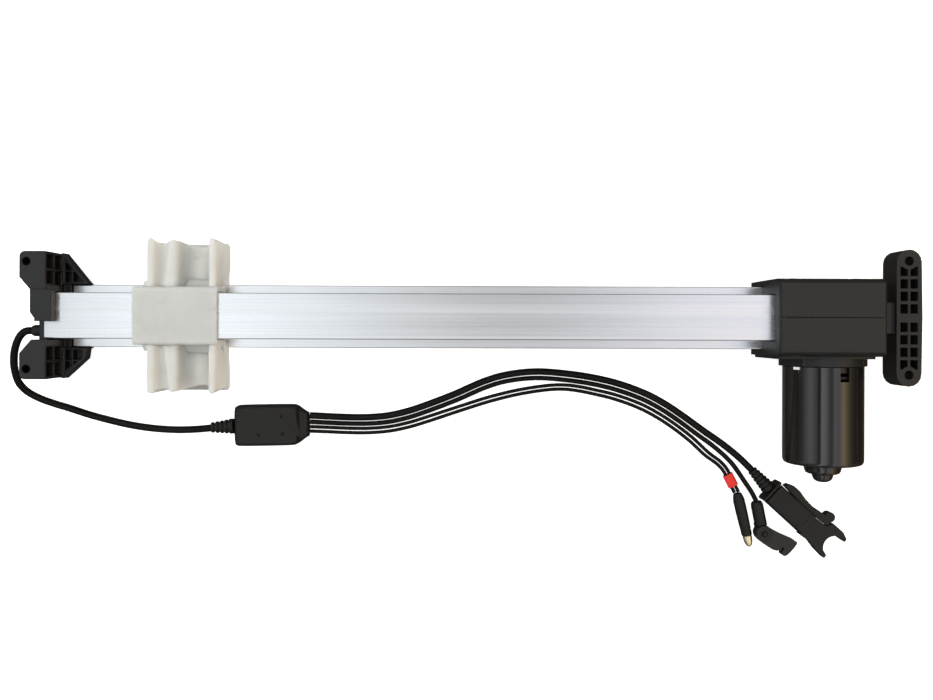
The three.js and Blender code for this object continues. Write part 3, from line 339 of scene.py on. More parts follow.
def prism(bm, axis, outline, start, end):
    """An outline in the two other directions, pulled along an axis."""
    u, v, w = AXES[axis]
    loft(bm, [[u * a + v * b + w * along for a, b in outline] for along in (start, end)])


# The least radius of a turned ring, so that a point on the axis still makes a ring.
AXIS_RADIUS = 0.0005


def turned(bm, axis, centre, profile, sides=64):
    """A profile of (radius, place) about an axis. It starts and ends on the axis, or closes."""
    u, v, w = AXES[axis]
    middle = u * centre[0] + v * centre[1]
    rings = []
    for radius, along in profile:
        r = max(radius, AXIS_RADIUS)
        rings.append([
            middle + w * along
            + u * (r * math.cos(2 * math.pi * i / sides)) + v * (r * math.sin(2 * math.pi * i / sides))
            for i in range(sides)
        ])
    hollow = profile[0] == profile[-1]
    loft(bm, rings[:-1] if hollow else rings, closed=hollow)


def rounded(u0, u1, v0, v1, radius):
    """A rectangle's outline with round corners."""
    steps = 6
    points = []
    corners = [(u1 - radius, v0 + radius, -90), (u1 - radius, v1 - radius, 0),
               (u0 + radius, v1 - radius, 90), (u0 + radius, v0 + radius, 180)]
    for cu, cv, start in corners:
        for i in range(steps + 1):
            angle = math.radians(start + 90 * i / steps)
            points.append((cu + radius * math.cos(angle), cv + radius * math.sin(angle)))
    return points


def softened(points, rounds=2, closed=False):
    """Chaikin corner cutting, which turns a given line into a smooth one."""
    for _ in range(rounds):
        cut = [] if closed else [points[0]]
        pairs = list(zip(points, points[1:] + points[:1])) if closed else list(zip(points, points[1:]))
        for a, b in pairs:
            cut.append(tuple(0.75 * p + 0.25 * q for p, q in zip(a, b)))
            cut.append(tuple(0.25 * p + 0.75 * q for p, q in zip(a, b)))
        points = cut if closed else cut + [points[-1]]
    return points


def to_object(name, bm, material, place=None):
    """The built mesh, in bench millimetres, as an object in the frame's metres."""
    if place is not None:
        bmesh.ops.transform(bm, matrix=place, verts=bm.verts)
    lower = Matrix.Translation((0, 0, BENCH)) @ Matrix.Scale(MM, 4)
    bmesh.ops.transform(bm, matrix=lower, verts=bm.verts)
    bmesh.ops.recalc_face_normals(bm, faces=bm.faces)
    mesh = bpy.data.meshes.new(name)
    bm.to_mesh(mesh)
    bm.free()
    mesh.materials.append(material)
    made = bpy.data.objects.new(name, mesh)
    bpy.context.scene.collection.objects.link(made)
    return made


def carve(target, cutter):
    """Takes the cutter out of the target and throws the cutter away."""
    step = target.modifiers.new("carve", "BOOLEAN")
    step.operation = "DIFFERENCE"
    step.object = cutter
    step.solver = "EXACT"
    bpy.context.view_layer.update()
    graph = bpy.context.evaluated_depsgraph_get()
    result = bpy.data.meshes.new_from_object(target.evaluated_get(graph))
    target.modifiers.clear()
    target.data = result
    bpy.data.objects.remove(cutter)


def move_to(piece, at, turn=0.0):
    """Moves a finished piece, built about the origin, to a place on the bench in millimetres."""
    piece.data.transform(Matrix.Translation(Vector(at) * MM) @ Matrix.Rotation(turn, 4, "Z"))


def soften_edges(target, width, angle=30, segments=3):
    """Rounds the sharp edges and smooths the shading between them."""
    target.data.shade_smooth()
    step = target.modifiers.new("edges", "BEVEL")
    step.width = width * MM
    step.segments = segments
    step.limit_method = "ANGLE"
    step.angle_limit = math.radians(angle)
    step.miter_outer = "MITER_ARC"
    normals = target.modifiers.new("normals", "WEIGHTED_NORMAL")
    normals.keep_sharp = True


def stand_for(piece, body, nodes):
    """Declares a new piece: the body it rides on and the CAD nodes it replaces."""
    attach(piece, body)
    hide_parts(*nodes)


def turned_place(at, turn):
    """A place on the bench, in millimetres, with a turn about the upright."""
    return Matrix.Translation(at) @ Matrix.Rotation(turn, 4, "Z")


# ---------------------------------------------------------------- carried-over CAD nodes

WELD_GAP = 0.000004
FLAT_ANGLE = math.radians(1.2)
EDGE_ANGLE = math.radians(28)


def dress(node, material, width):
    """Keeps a CAD node's shape, with flat faces merged, edges rounded and a real material."""
    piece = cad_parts[node]
    old = piece.data.attributes.get("custom_normal")
    if old is not None:
        piece.data.attributes.remove(old)
    piece.data.shade_smooth()
    piece.data.materials.clear()
    piece.data.materials.append(material)
    weld = piece.modifiers.new("weld", "WELD")
    weld.merge_threshold = WELD_GAP
    flat = piece.modifiers.new("flat faces", "DECIMATE")
    flat.decimate_type = "DISSOLVE"
    flat.angle_limit = FLAT_ANGLE
    if width:
        edges = piece.modifiers.new("edges", "BEVEL")
        edges.width = width * MM
        edges.segments = 2
        edges.limit_method = "ANGLE"
        edges.angle_limit = EDGE_ANGLE
    normals = piece.modifiers.new("normals", "WEIGHTED_NORMAL")
    normals.keep_sharp = False


for name, paint, width in [
    ("guide_rail", ALUMINIUM, 0.9),
    ("front_bracket", NYLON, 0.5),
    ("front_screw_bush", PLATED, 0.2),
    ("cable_gland", PLUG_PVC, 0.4),
    ("gear_housing_far_half", NYLON, 0.5),
    ("gear_housing_motor_half", NYLON, 0.5),
    ("rear_mounting_head", HEAD_NYLON, 0.45),
    ("housing_screw_1", BLACKENED, 0.3),
    ("housing_screw_2", BLACKENED, 0.3),
    ("housing_screw_3", BLACKENED, 0.3),
    ("housing_screw_4", BLACKENED, 0.3),
    ("worm_wheel", AMBER, 0),
    ("wheel_lock_nut", STEEL, 0.3),
    ("screw_bearing_front", BRIGHT_STEEL, 0.3),
    ("screw_bearing_rear", BRIGHT_STEEL, 0.3),
    ("can_tab", ZINC, 0.15),
    ("motor_front_plate", BLACKENED, 0.2),
    ("motor_screw_1", STEEL, 0.2),
    ("motor_screw_2", STEEL, 0.2),
    ("magnet_front", FERRITE, 0.3),
    ("magnet_rear", FERRITE, 0.3),
    ("brush_card", PLUG_PVC, 0.2),
    ("brush_front", COPPER, 0.2),
    ("brush_rear", COPPER, 0.2),
    ("motor_bearing_front", BRIGHT_STEEL, 0.2),
    ("motor_bearing_end", BRIGHT_STEEL, 0.2),
    ("worm_bearing", BRIGHT_STEEL, 0.2),
    ("motor_shaft", STEEL, 0.2),
    ("armature_core", STEEL, 0.2),
    ("armature_windings_front", COPPER, 0.4),
    ("armature_windings_end", COPPER, 0.4),
    ("commutator", COPPER, 0.2),
    ("worm", STEEL, 0),
    ("drive_nut", AMBER, 0.4),
    ("limit_switch_front", PLUG_PVC, 0.3),
    ("limit_switch_rear", PLUG_PVC, 0.3),
    ("rail_harness", SHEATH, 0),
    ("motor_connector", WHITE_NYLON, 0.3),
    ("din_plug_fork_clip", PLUG_PVC, 0.6),
    ("din_plug_lever", PLUG_PVC, 0.7),
    ("angled_plug_body", PLUG_PVC, 0.4),
    ("red_band", RED, 0.3),
]:
    dress(name, paint, width)


# ---------------------------------------------------------------- junction box

BOX_AT = (-508, -86, 0)
BOX_TURN = 0.02
# The middle of the box's length, the step down to its nose, and the nose's height.
BOX_MIDDLE, BOX_STEP, NOSE_HEIGHT = 29.25, 49.0, 9.0


def junction_box():
    """The moulded box: a crowned lid, sloped shoulders, a lower nose and three deep dimples."""
    half, height, foot, nose_end = 16.3, 13.0, 0.2, 58.5
    plan = softened([
        (0, 0), (0, -13), (1.2, -15.6), (4.5, -half), (46, -half), (49.5, -15.4), (54.5, -11.4), (56.8, -10),
        (nose_end, -9.2), (nose_end, 0), (nose_end, 9.2), (56.8, 10), (54.5, 11.4), (49.5, 15.4), (46, half),
        (4.5, half), (1.2, 15.6), (0, 13),
    ], 2, closed=True)
    bm = bmesh.new()
    rings = []
    crown = [(1.0, foot), (0.2, 1.0), (0, 2.2), (0.2, 9.6), (0.9, 11.4), (2.0, 12.5), (3.2, height)]
    for inward, level in crown:
        ring = []
        for x, y in plan:
            shrink_x = 1 - inward / BOX_MIDDLE
            shrink_y = 1 - inward / half
            lowered = level if x * shrink_x < BOX_STEP else min(level, level * NOSE_HEIGHT / height + 0.2)
            ring.append((BOX_MIDDLE + (x - BOX_MIDDLE) * shrink_x, y * shrink_y, lowered))
        rings.append(ring)
    loft(bm, rings)
    piece = to_object("junction_box_shell", bm, PLUG_PVC)
    bm = bmesh.new()
    step = softened([(49, 20), (49.2, height + 0.2), (50, 11.6), (51.2, 9.4), (53, 9), (60, 9), (60, 20)], 1)
    prism(bm, "y", step, -20, 20)
    carve(piece, to_object("nose_step", bm, PLUG_PVC))
    for x, y in [(38, 7), (20, -7), (38.8, -6.4)]:
        bm = bmesh.new()
        turned(bm, "z", (x, y), [(0, 11.4), (1.0, 11.5), (1.3, 12), (1.5, 15), (0, 15)], 24)
        carve(piece, to_object("dimple", bm, PLUG_PVC))
    move_to(piece, BOX_AT, BOX_TURN)
    soften_edges(piece, 0.45, 28, 3)
    stand_for(piece, "base", ["junction_box"])
    return piece


junction_shell = junction_box()


# ---------------------------------------------------------------- leads

# The routes repeat the CAD's points: [x, y, height].
MAIN_ROUTE = [
    [-650.6, -11.3, 46], [-656, -12, 45.4], [-662, -17, 42.5], [-667, -25, 38], [-670.5, -34, 32.5],
    [-672.5, -43, 26.5], [-672.5, -52, 20], [-669, -59, 14], [-662, -64.5, 9], [-652, -69, 5.5],
    [-640, -73, 3.6], [-625, -78, 2.9], [-610, -82, 2.9], [-594, -85.7, 2.9], [-576, -88.5, 2.9],
    [-557, -89.8, 2.9], [-541, -89.4, 3.6], [-527.2, -88, 6],
]
DIN_ROUTE = [
    [-448.9, -77.8, 6], [-436, -78.6, 4.4], [-420, -79.4, 2.8], [-404, -79.4, 2.8], [-389, -78.2, 2.8],
    [-374, -75, 2.8], [-360, -70.5, 2.8], [-336, -61.3, 2.8], [-311, -50.4, 2.8], [-295, -45.6, 2.8],
    [-271, -42.7, 2.8], [-246, -44.2, 2.8], [-222, -47.8, 2.8], [-203, -52.5, 2.8], [-182, -60.3, 2.8],
    [-167, -68.3, 2.8], [-152, -78.3, 2.8], [-138, -88.4, 2.8], [-121, -100.3, 3.4], [-109, -110.2, 5],
    [-100, -119.2, 7],
]
ANGLED_ROUTE = [
    [-448.9, -82.9, 5.5], [-436, -83.7, 3.6], [-420, -84.5, 2], [-403, -84.5, 2], [-387.8, -83.2, 2],
    [-372.4, -79.9, 2], [-358.1, -75.2, 2], [-334, -66, 2], [-308.7, -55, 2], [-293.4, -50.5, 2],
    [-271, -47.9, 2], [-247, -49.3, 2], [-223.2, -52.8, 2], [-204.7, -57.4, 2], [-184.2, -64.9, 2],
    [-169.7, -72.6, 2], [-155, -82.4, 2], [-142, -92, 2], [-127.4, -102.6, 2], [-114.2, -114.9, 2.2],
    [-104, -129.6, 3.5], [-98.6, -138, 4.6], [-95.5, -144.3, 5.1],
]
WIRE_A_ROUTE = [
    [-448.9, -86.8, 5], [-436, -87.5, 3], [-420, -88.3, 1.6], [-402.5, -88.3, 1.6], [-387, -87, 1.6],
    [-371, -83.6, 1.6], [-356.3, -79, 1.6], [-331.5, -70.8, 1.6], [-305.5, -62.6, 1.6], [-281, -56.8, 1.6],
    [-257, -53.5, 1.6], [-246, -53.4, 1.6], [-235, -54.7, 1.6], [-224, -56.9, 1.6], [-206, -61.2, 1.6],
    [-185.9, -68.5, 1.6], [-172, -75.8, 1.6], [-157.6, -85.3, 1.6], [-145, -95, 1.6], [-132, -107, 1.6],
    [-122.8, -113.9, 1.8], [-117.8, -119.7, 2.3], [-113.8, -127.8, 2.7], [-108.9, -137.6, 3.2],
]
WIRE_B_ROUTE = [
    [-448.9, -90.3, 5], [-436, -91, 3], [-420, -91.8, 1.6], [-402, -91.8, 1.6], [-386, -90.4, 1.6],
    [-370, -87, 1.6], [-355, -82.4, 1.6], [-330.3, -74.1, 1.6], [-304.3, -65.9, 1.6], [-280, -60.1, 1.6],
    [-257, -56.9, 1.6], [-246, -56.8, 1.6], [-235.5, -58.1, 1.6], [-224.8, -60.2, 1.6], [-207.2, -64.5, 1.6],
    [-187.4, -71.7, 1.6], [-173.8, -78.8, 1.6], [-159.8, -88, 1.6], [-147.4, -97.6, 1.6], [-135, -109, 1.6],
    [-125.4, -116, 1.8], [-120.7, -121.2, 2.3], [-116.7, -129.2, 2.7], [-112.05, -138.3, 3.2],
]


def through(route, step=2.0):
    """Even points along a centripetal Catmull-Rom curve through the route."""
    points = [Vector(p) for p in route]
    points = [points[0] * 2 - points[1], *points, points[-1] * 2 - points[-2]]
    line = []
    for a, b, c, d in zip(points, points[1:], points[2:], points[3:]):
        t1 = (b - a).length ** 0.5
        t2 = t1 + (c - b).length ** 0.5
        t3 = t2 + (d - c).length ** 0.5
        count = max(2, round((c - b).length / step))
        for i in range(count):
            t = t1 + (t2 - t1) * i / count
            ab = a * ((t1 - t) / t1) + b * (t / t1)
            bc = b * ((t2 - t) / (t2 - t1)) + c * ((t - t1) / (t2 - t1))
            cd = c * ((t3 - t) / (t3 - t2)) + d * ((t - t2) / (t3 - t2))
            abc = ab * ((t2 - t) / t2) + bc * (t / t2)
            bcd = bc * ((t3 - t) / (t3 - t1)) + cd * ((t - t1) / (t3 - t1))
            line.append(abc * ((t2 - t) / (t2 - t1)) + bcd * ((t - t1) / (t2 - t1)))
    line.append(points[-2])
    return line


def make_lead(name, route, diameter, node):
    line = [bench_point(*p) for p in through(route)]
    curve = bpy.data.curves.new(name, "CURVE")
    curve.dimensions = "3D"
    curve.bevel_depth = diameter / 2 * MM
    curve.bevel_resolution = 5
    curve.use_fill_caps = True
    spline = curve.splines.new("POLY")
    spline.points.add(len(line) - 1)
    for point, at in zip(spline.points, line):
        point.co = (*at, 1)
        point.radius = 1
    spline.use_smooth = True
    curve.materials.append(SHEATH)
    piece = bpy.data.objects.new(name, curve)
    bpy.context.scene.collection.objects.link(piece)
    stand_for(piece, "base", [node])
    length = sum((b - a).length for a, b in zip(line, line[1:]))
    return piece, tuple(line[0]), length


def ribbed_sleeve(name, node, length, from_radius, to_radius, ribs, place):
    """A tapered strain relief whose ribs are cut through on alternate sides."""
    bm = bmesh.new()
    profile = [(0, 0), (from_radius - 0.6, 0), (from_radius, 0.6)]
    pitch = length / ribs
    for i in range(ribs):
        radius = from_radius + (to_radius - from_radius) * i / (ribs - 1)
        profile += [(radius, i * pitch + 0.7), (radius, (i + 0.55) * pitch),
                    (radius - 0.25, (i + 0.6) * pitch)]
        if i < ribs - 1:
            profile += [(radius - 1.1, (i + 0.64) * pitch), (radius - 1.1, (i + 0.92) * pitch),
                        (radius - 0.2, (i + 0.97) * pitch)]
    profile += [(to_radius, length - 0.3), (to_radius - 0.3, length), (0, length)]
    turned(bm, "x", (0, 0), profile, 40)
    piece = to_object(name, bm, PLUG_PVC, place)
    soften_edges(piece, 0.15, 35, 2)
    stand_for(piece, "base", [node])
    return piece


junction_sleeve = ribbed_sleeve(
    "junction_sleeve", "cable_strain_relief", 18, 4.2, 6, 5,
    turned_place((-526.8, -87.6, 6.4), 0.07))
din_sleeve = ribbed_sleeve(
    "power_plug_sleeve", "din_plug_strain_relief", 19.6, 3.8, 5.6, 6,
    turned_place((-99.6, -119.6, 7.7), -0.83))


# ---------------------------------------------------------------- plugs

POWER_PLUG_AT = (-84.3, -136.8, 0)
POWER_PLUG_TURN = -0.74
POWER_PLUG_LENGTH = 37
CLIP_PIN = (-90.327, -169.574, 0)


def small_plug():
    """The small round plug: a waisted grip with a moulded ring, and its plated nose."""
    place = turned_place((-110, -139.5, 4.6), -1.34)
    bm = bmesh.new()
    turned(bm, "x", (0, 0), [
        (0, -1), (2.9, -1), (3.3, -0.6), (3.6, 0.6), (4.1, 2.2), (4.5, 5), (4.5, 14), (4.3, 24), (4.1, 28),
        (3.95, 28.3), (3.95, 28.8), (4.1, 29.1), (4.05, 32.4), (3.7, 33), (0, 33),
    ], 56)
    grip = to_object("small_plug_grip", bm, PLUG_PVC, place)
    soften_edges(grip, 0.15, 40, 2)
    stand_for(grip, "base", ["small_plug_body"])
    bm = bmesh.new()
    turned(bm, "x", (0, 0), [
        (0, 33.3), (3.3, 33.3), (3.5, 33.6), (3.5, 35.8), (3.3, 36.1), (3.3, 36.5), (3.45, 36.8),
        (3.1, 38.6), (2.5, 40.4), (1.8, 41.6), (0.9, 42.2), (0, 42.3),
    ], 48)
    nose = to_object("small_plug_nose", bm, PLATED, place)
    soften_edges(nose, 0.08, 45, 2)
    stand_for(nose, "base", ["small_plug_tip"])
    return grip, nose


def power_plug_body():
    """The power plug's housing: a rim with a deep groove behind it, and a sunk panel on top."""
    bm = bmesh.new()
    prism(bm, "x", rounded(-8.7, 8.7, 0.2, 15.4, 1.8), 0.4, POWER_PLUG_LENGTH)
    prism(bm, "x", rounded(-7.9, 8.1, 1.0, 14.4, 1.6), -0.9, 0.4)
    prism(bm, "x", rounded(-9.4, 10.1, 0.2, 15.8, 2.4), -2.6, -0.9)
    body = to_object("power_plug_housing", bm, PLUG_PVC)
    bm = bmesh.new()
    prism(bm, "z", rounded(3, POWER_PLUG_LENGTH - 4, -6.6, 6.6, 1.5), 15.0, 17)
    carve(body, to_object("panel", bm, PLUG_PVC))
    move_to(body, POWER_PLUG_AT, POWER_PLUG_TURN)
    soften_edges(body, 0.35, 30, 2)
    stand_for(body, "base", ["din_plug_body"])
    return body


def hooked_clip():
    """The angled plug's clip: a disc with two moulded rings about the pin, and a hooked arm."""
    bm = bmesh.new()
    prism(bm, "z", softened([
        (-4.6, -4.8), (1.4, -9.2), (8, -13.2), (12.8, -12.8), (14.4, -10.2), (16.2, -11.2), (13.8, -14.4),
        (14, -17.2), (18, -17.2), (25.2, -8.8), (26, -5.6), (13.4, -0.4), (5.2, 4.2),
    ], 1, closed=True), 2.5, 10.4)
    arm = to_object("hooked_clip", bm, CLIP_PVC)
    bm = bmesh.new()
    turned(bm, "z", (0, 0), [(0, 2), (6.9, 2), (6.9, 5.9), (0, 5.9)], 48)
    carve(arm, to_object("foot_room", bm, CLIP_PVC))
    bm = bmesh.new()
    turned(bm, "z", (0, 0), [(0, 1), (5.6, 1), (5.6, 12), (0, 12)], 48)
    carve(arm, to_object("disc_room", bm, CLIP_PVC))
    move_to(arm, CLIP_PIN)
    soften_edges(arm, 0.5, 30, 3)
    stand_for(arm, "plug_clip", ["angled_plug_clip"])
    bm = bmesh.new()
    turned(bm, "z", (0, 0), [
        (1.9, 6.0), (6.3, 6.0), (6.6, 6.3), (6.6, 10.6), (6.2, 11.1), (5.2, 11.2), (4.9, 10.7), (3.7, 10.6),
        (3.4, 11.1), (2.5, 11.2), (2.2, 10.7), (1.9, 10.4), (1.9, 6.0),
    ], 64)
    disc = to_object("hooked_clip_disc", bm, CLIP_PVC)
    move_to(disc, CLIP_PIN)
    soften_edges(disc, 0.1, 40, 2)
    stand_for(disc, "plug_clip", ["angled_plug_clip"])
    return arm, disc


plug_grip, plug_nose = small_plug()
plug_housing = power_plug_body()
clip_arm, clip_disc = hooked_clip()


# ---------------------------------------------------------------- cords

lead, start, length = make_lead("main_lead", MAIN_ROUTE, 5.6, "main_cable")
lead, start, length = make_lead("power_plug_lead", DIN_ROUTE, 5.4, "din_cable")
lead, start, length = make_lead("angled_plug_lead", ANGLED_ROUTE, 3.8, "angled_plug_cable")
lead, start, length = make_lead("small_plug_lead_a", WIRE_A_ROUTE, 2.8, "small_plug_wire_a")
lead, start, length = make_lead("small_plug_lead_b", WIRE_B_ROUTE, 2.8, "small_plug_wire_b")


# ---------------------------------------------------------------- slider

SADDLE_FRONT, SADDLE_REAR = -570.0, -508.0
# The wings' top line from the front rim over the valley, hump and trough to the rear rim.
WING_LINE = [
    (-561.5, 50), (-561.5, 55), (-560.9, 56.7), (-559, 57.3), (-556.6, 57), (-555.3, 55.2), (-554.2, 51.6),
    (-552.9, 50), (-551.5, 51.2), (-550, 53.4), (-547.4, 54.4), (-543, 54.6), (-540.2, 53.8), (-538.9, 50.5),
    (-538.3, 42), (-537.2, 32), (-534.2, 27.2), (-529.5, 26), (-525, 28.2), (-521, 35), (-518.2, 45),
    (-516.4, 53), (-515.2, 56.4), (-513.4, 57.3), (-511.4, 57.2), (-510.2, 55.8), (-510, 50),
]
WING_FOOT = [
    (-510, 30), (-510, 13.5), (-512, 11.3), (-516, 11),
    (-556, 11), (-560, 11.3), (-561.5, 13.5), (-561.5, 30),
]
# How far out the wing's wavy end stands, place by place along the rail.
WING_ENDS = [
    (-561.5, 54.6), (-560.6, 57), (-558.7, 57.7), (-556.6, 57.4), (-554.4, 55.2), (-552, 53.8),
    (-549.6, 54.3), (-546.6, 56), (-543, 56.8), (-539.4, 56.2), (-536, 54.6), (-531, 53.3),
    (-525, 53.1), (-520.5, 54), (-517, 56.6), (-514, 57.7), (-511.8, 57.6), (-510, 55.4),
]
WING_ROOT = 19.0
WING_EDGE = 1.5
# The hump's front flank slants: this far towards the rear at the wing's end.
HUMP_LEAN = 4.6
# Where along the rail the slant starts, is full, and is gone again, and how high it starts.
HUMP_FOOT, HUMP_FLANK, HUMP_BACK = -555.5, -550.8, -540.5
HUMP_BOTTOM = 46
# The wing's foot lies under this height, and rises this far towards the saddle.
FOOT_TOP, FOOT_RISE = 14, 9.0


def wing_reach(x):
    """How far out from the rail's middle the wing's end stands at a place along the rail."""
    for (x0, r0), (x1, r1) in zip(WING_ENDS, WING_ENDS[1:]):
        if x <= x1:
            share = max(0.0, (x - x0) / (x1 - x0))
            return r0 + (r1 - r0) * share * share * (3 - 2 * share)
    return WING_ENDS[-1][1]


def hump_share(x):
    """How much of the lean a place takes: none at the hump's two ends, all of it on its flank."""
    rise = (x - HUMP_FOOT) / (HUMP_FLANK - HUMP_FOOT)
    fall = (HUMP_BACK - x) / (HUMP_BACK - HUMP_FLANK)
    share = min(1.0, max(0.0, min(rise, fall)))
    return share * share * (3 - 2 * share)


def inset(outline, amount):
    """Moves a closed outline inwards along its own normals. It runs clockwise in X and Z."""
    moved = []
    for before, here, after in zip(outline[-1:] + outline[:-1], outline, outline[1:] + outline[:1]):
        along = Vector((after[0] - before[0], after[1] - before[1]))
        if along.length:
            along.normalize()
        moved.append((here[0] + along[1] * amount, here[1] - along[0] * amount))
    return moved


def wing(side):
    """One wing, skinned from the saddle out to its wavy, rounded end. Its foot rises to the saddle."""
    outline = softened(WING_LINE, 2) + softened(WING_FOOT, 1)
    bm = bmesh.new()
    rings = []
    shares = [0, 0.12, 0.25, 0.4, 0.55, 0.7, 0.82, 0.9]
    turns = [math.radians(15 * i) for i in range(7)]
    for share, turn in [(share, 0.0) for share in shares] + [(1.0, turn) for turn in turns]:
        ring = []
        for (x, z), (end_x, _) in zip(inset(outline, WING_EDGE * (1 - math.cos(turn))), outline):
            full_lean = HUMP_LEAN * hump_share(end_x) if z > HUMP_BOTTOM else 0.0
            foot = FOOT_RISE * max(0.0, 1 - share * 1.8) if z < FOOT_TOP else 0.0
            reach = wing_reach(end_x + full_lean) - WING_EDGE * (1 - math.sin(turn))
            ring.append((x + full_lean * share, side * (WING_ROOT + (reach - WING_ROOT) * share), z + foot))
        rings.append(ring)
    loft(bm, rings)
    piece = to_object("slider_wing_far" if side > 0 else "slider_wing_near", bm, ACETAL)
    piece.data.shade_smooth()
    stand_for(piece, "slider", ["slider_block"])


def saddle():
    """The saddle that rides round the rail, with soft upper edges and a stepped skirt."""
    gap = 0.5
    foot, web = 23.8 + gap, 16.9 + gap
    low, step, top = 28 - gap, 30.5 + gap, 59 + gap
    half = [(27.9, 17), (28, 18), (28, 34), (26.8, 36), (22.6, 40.4), (21.9, 42)]
    crown = [(21.6, 45), (21.5, 58.6), (20.9, 60.6), (19.4, 61.9), (17.2, 62.4), (10, 62.5)]
    right = [(26.4, 16.5)] + half + crown
    outline = right + [(-y, z) for y, z in reversed(right)]
    bm = bmesh.new()
    prism(bm, "x", outline, SADDLE_FRONT, SADDLE_REAR)
    piece = to_object("slider_saddle", bm, ACETAL)
    bm = bmesh.new()
    far_side = [(foot, low), (foot, step), (web, step), (web, top)]
    envelope = far_side + [(-y, z) for y, z in reversed(far_side)]
    prism(bm, "x", envelope, SADDLE_FRONT - 1, SADDLE_REAR + 1)
    carve(piece, to_object("rail_room", bm, ACETAL))
    bm = bmesh.new()
    prism(bm, "z", rounded(-559.5, -518.5, -8.4, 8.4, 1), 19.7, 29)
    carve(piece, to_object("nut_room", bm, ACETAL))
    for low, high in [(SADDLE_FRONT - 1, SADDLE_FRONT + 4.5), (SADDLE_REAR - 2.6, SADDLE_REAR + 1)]:
        bm = bmesh.new()
        prism(bm, "y", [(low, 10), (high, 10), (high, 36), (low, 36)], -30, 30)
        carve(piece, to_object("skirt_end", bm, ACETAL))
    soften_edges(piece, 1.7, 35, 4)
    stand_for(piece, "slider", ["slider_block"])


def skid(side):
    """The runner under a wing's outer end, which the slider stands on."""
    outline = softened([(-556, 20), (-556, 2), (-552.5, 0), (-518.5, 0), (-515, 2), (-515, 20)], 1)
    bm = bmesh.new()
    low, high = sorted((side * 25, side * 36))
    prism(bm, "y", outline, low, high)
    piece = to_object("slider_skid_far" if side > 0 else "slider_skid_near", bm, ACETAL)
    soften_edges(piece, 0.8, 30, 3)
    stand_for(piece, "slider", ["slider_block"])


saddle()
for side in (1, -1):
    wing(side)
    skid(side)


# ---------------------------------------------------------------- motor can

MOTOR_X, MOTOR_HEIGHT = -52.2, 29.5


def motor_can():
    """The deep-drawn can: rolled mouth, rounded end, stepped boss and a bearing dome."""
    radius, inside = MOTOR_HEIGHT, MOTOR_HEIGHT - 2
    bm = bmesh.new()
    turned(bm, "y", (MOTOR_X, MOTOR_HEIGHT), [
        (inside, -36.7), (radius - 0.3, -36.7), (radius, -37), (radius, -107.2), (radius - 0.35, -109),
        (radius - 1.3, -110.3), (radius - 3, -110.9), (17.5, -111.1), (15.2, -111.6), (14, -112.8),
        (13.3, -116.2), (12.5, -117.9), (11, -118.6), (9, -118.7), (8.2, -119), (7.7, -120.4), (7.1, -122.4),
        (5.7, -124.1), (3.6, -125), (1.8, -125.2), (0, -125.2), (0, -122.2), (4, -122.2), (4, -117.8),
        (8.3, -117.8), (8.3, -109), (inside, -109), (inside, -36.7),
    ], 128)
    piece = to_object("motor_can_shell", bm, ENAMEL)
    bm = bmesh.new()
    prism(bm, "y", rounded(MOTOR_X + 1.8, MOTOR_X + 9, 44, 60, 0.8), -47.3, -35)
    carve(piece, to_object("can_notch", bm, ENAMEL))
    soften_edges(piece, 0.12, 50, 2)
    stand_for(piece, "base", ["motor_can"])


motor_can()


# ---------------------------------------------------------------- lead screw

SCREW_HEIGHT = 45.5


def lead_screw():
    """The rolled screw: a two-start thread of 9 mm lead between plain journals."""
    front, rear = -640.5, -29.6
    thread_front, thread_rear = -631.0, -76.0
    sides, step, lead, starts = 20, 0.75, 9.0, 2
    chamfer, journal, root, depth = 3.7, 4.0, 4.2, 0.8
    places = [front, front + 0.4]
    count = round((thread_rear - thread_front) / step)
    places += [thread_front + step * i for i in range(count + 1)]
    places += [thread_rear + 0.4, rear - 0.4, rear]
    rings = []
    for x in places:
        ring = []
        for i in range(sides):
            angle = 2 * math.pi * i / sides
            if x in (front, rear):
                radius = chamfer
            elif x < thread_front + 0.1 or x > thread_rear:
                radius = journal
            else:
                turn = (x / lead * starts - angle / (2 * math.pi) * starts) % 1.0
                radius = root + depth * min(1.0, max(0.0, 1.6 - 3.2 * abs(turn - 0.5)))
            ring.append((x, radius * math.cos(angle), SCREW_HEIGHT + radius * math.sin(angle)))
        rings.append(ring)
    bm = bmesh.new()
    loft(bm, rings)
    piece = to_object("threaded_lead_screw", bm, SCREW_STEEL)
    piece.data.shade_smooth()
    stand_for(piece, "spindle", ["lead_screw"])


lead_screw()


# ---------------------------------------------------------------- stage

FLOOR_HALF = 15000
# Under the rail's middle, and a hair below the bench's height.
FLOOR_AT = (-0.325, -0.02, -0.0004)


def make_floor():
    made, tree, shader = new_material("pale_floor", 0.7)
    place = place_on(tree, (1, 1, 1))
    cloud = noise(tree, place, 3, 3)
    tint = ramp(tree, cloud, [(0.3, (0.93, 0.93, 0.93)), (0.7, (0.95, 0.95, 0.95))])
    feed(tree, shader, "Base Color", tint)
    shader.inputs["Emission Color"].default_value = (1, 1, 1, 1)
    shader.inputs["Emission Strength"].default_value = 0.75
    bm = bmesh.new()
    bmesh.ops.create_grid(bm, x_segments=8, y_segments=8, size=FLOOR_HALF)
    floor = to_object("floor", bm, made)
    floor.location = FLOOR_AT
    floor.visible_glossy = False


def area_light(name, at, aim, size, power, colour):
    """A softbox that lights the object but isn't mirrored in it. The surround is what shows there."""
    data = bpy.data.lights.new(name, "AREA")
    data.shape = "RECTANGLE"
    data.size, data.size_y = size
    data.energy = power
    data.color = colour
    light = bpy.data.objects.new(name, data)
    light.location = bench_point(*at)
    light.visible_glossy = False
    light.rotation_euler = (bench_point(*aim) - light.location).to_track_quat("-Z", "Y").to_euler()
    bpy.context.scene.collection.objects.link(light)


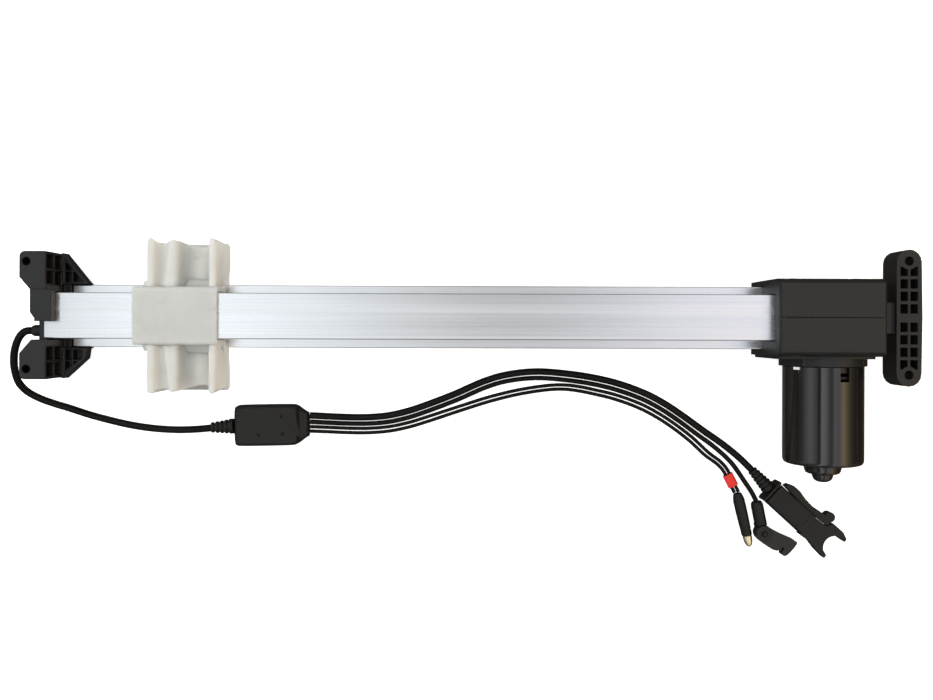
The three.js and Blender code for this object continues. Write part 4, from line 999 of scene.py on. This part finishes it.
# The surround's brightness by direction along the rail, from the front (-1) to the rear (+1).
SKY = [
    (-1.0, (0.3, 0.3, 0.31)), (-0.92, (1.5, 1.55, 1.62)), (-0.72, (0.75, 0.77, 0.8)), (-0.6, (0.5, 0.5, 0.5)),
    (-0.54, (0.08, 0.08, 0.07)), (-0.445, (0.08, 0.08, 0.08)), (-0.41, (1.5, 1.56, 1.6)),
    (-0.2, (1.18, 1.25, 1.28)), (-0.11, (0.8, 0.82, 0.83)), (0.0, (0.42, 0.42, 0.4)),
    (0.09, (0.27, 0.26, 0.24)), (0.16, (0.72, 0.73, 0.77)), (0.22, (1.05, 1.08, 1.15)),
    (0.3, (0.95, 0.98, 1.1)), (0.45, (0.9, 0.88, 0.86)),
    (0.63, (2.0, 1.5, 0.95)), (0.76, (0.9, 0.7, 0.4)), (0.89, (0.5, 0.4, 0.22)), (1.0, (0.1, 0.07, 0.035)),
]


def make_sky():
    """A studio surround: soft bands across the rail's length, dimmer towards the bench. It shows in
    mirrored rays only, and the softboxes do the lighting."""
    world = bpy.data.worlds.new("studio")
    bpy.context.scene.world = world
    world.use_nodes = True
    tree = world.node_tree
    background = tree.nodes["Background"]
    coords = tree.nodes.new("ShaderNodeTexCoord")
    split = tree.nodes.new("ShaderNodeSeparateXYZ")
    tree.links.new(coords.outputs["Generated"], split.inputs["Vector"])
    bands = ramp(tree, spread(tree, split.outputs["X"], -1, 1, 0, 1), [((x + 1) / 2, c) for x, c in SKY])
    rise = ramp(tree, spread(tree, split.outputs["Z"], -1, 1, 0, 1), [
        (0.46, (0.09, 0.08, 0.068)), (0.52, (0.34, 0.33, 0.32)), (0.6, (0.4, 0.39, 0.38)),
        (0.7, (0.5, 0.49, 0.48)), (0.82, (1, 1, 1)), (1, (1, 1, 1)),
    ])
    tree.links.new(multiply(tree, bands, rise), background.inputs["Color"])
    background.inputs["Strength"].default_value = 1.0
    world.cycles_visibility.diffuse = False


make_floor()
make_sky()
area_light("top_softbox", (-560, 120, 1700), (-500, 0, 0), (0.9, 1.4), 21.5, (1.0, 0.985, 0.95))
area_light("left_softbox", (-1500, 200, 700), (-325, 0, 40), (1.0, 1.0), 7.0, (0.97, 1.0, 1.0))
area_light("right_softbox", (1100, -300, 450), (-300, 0, 0), (1.2, 0.8), 11.5, (1.0, 0.81, 0.6))
bpy.context.scene.view_settings.view_transform = "Standard"
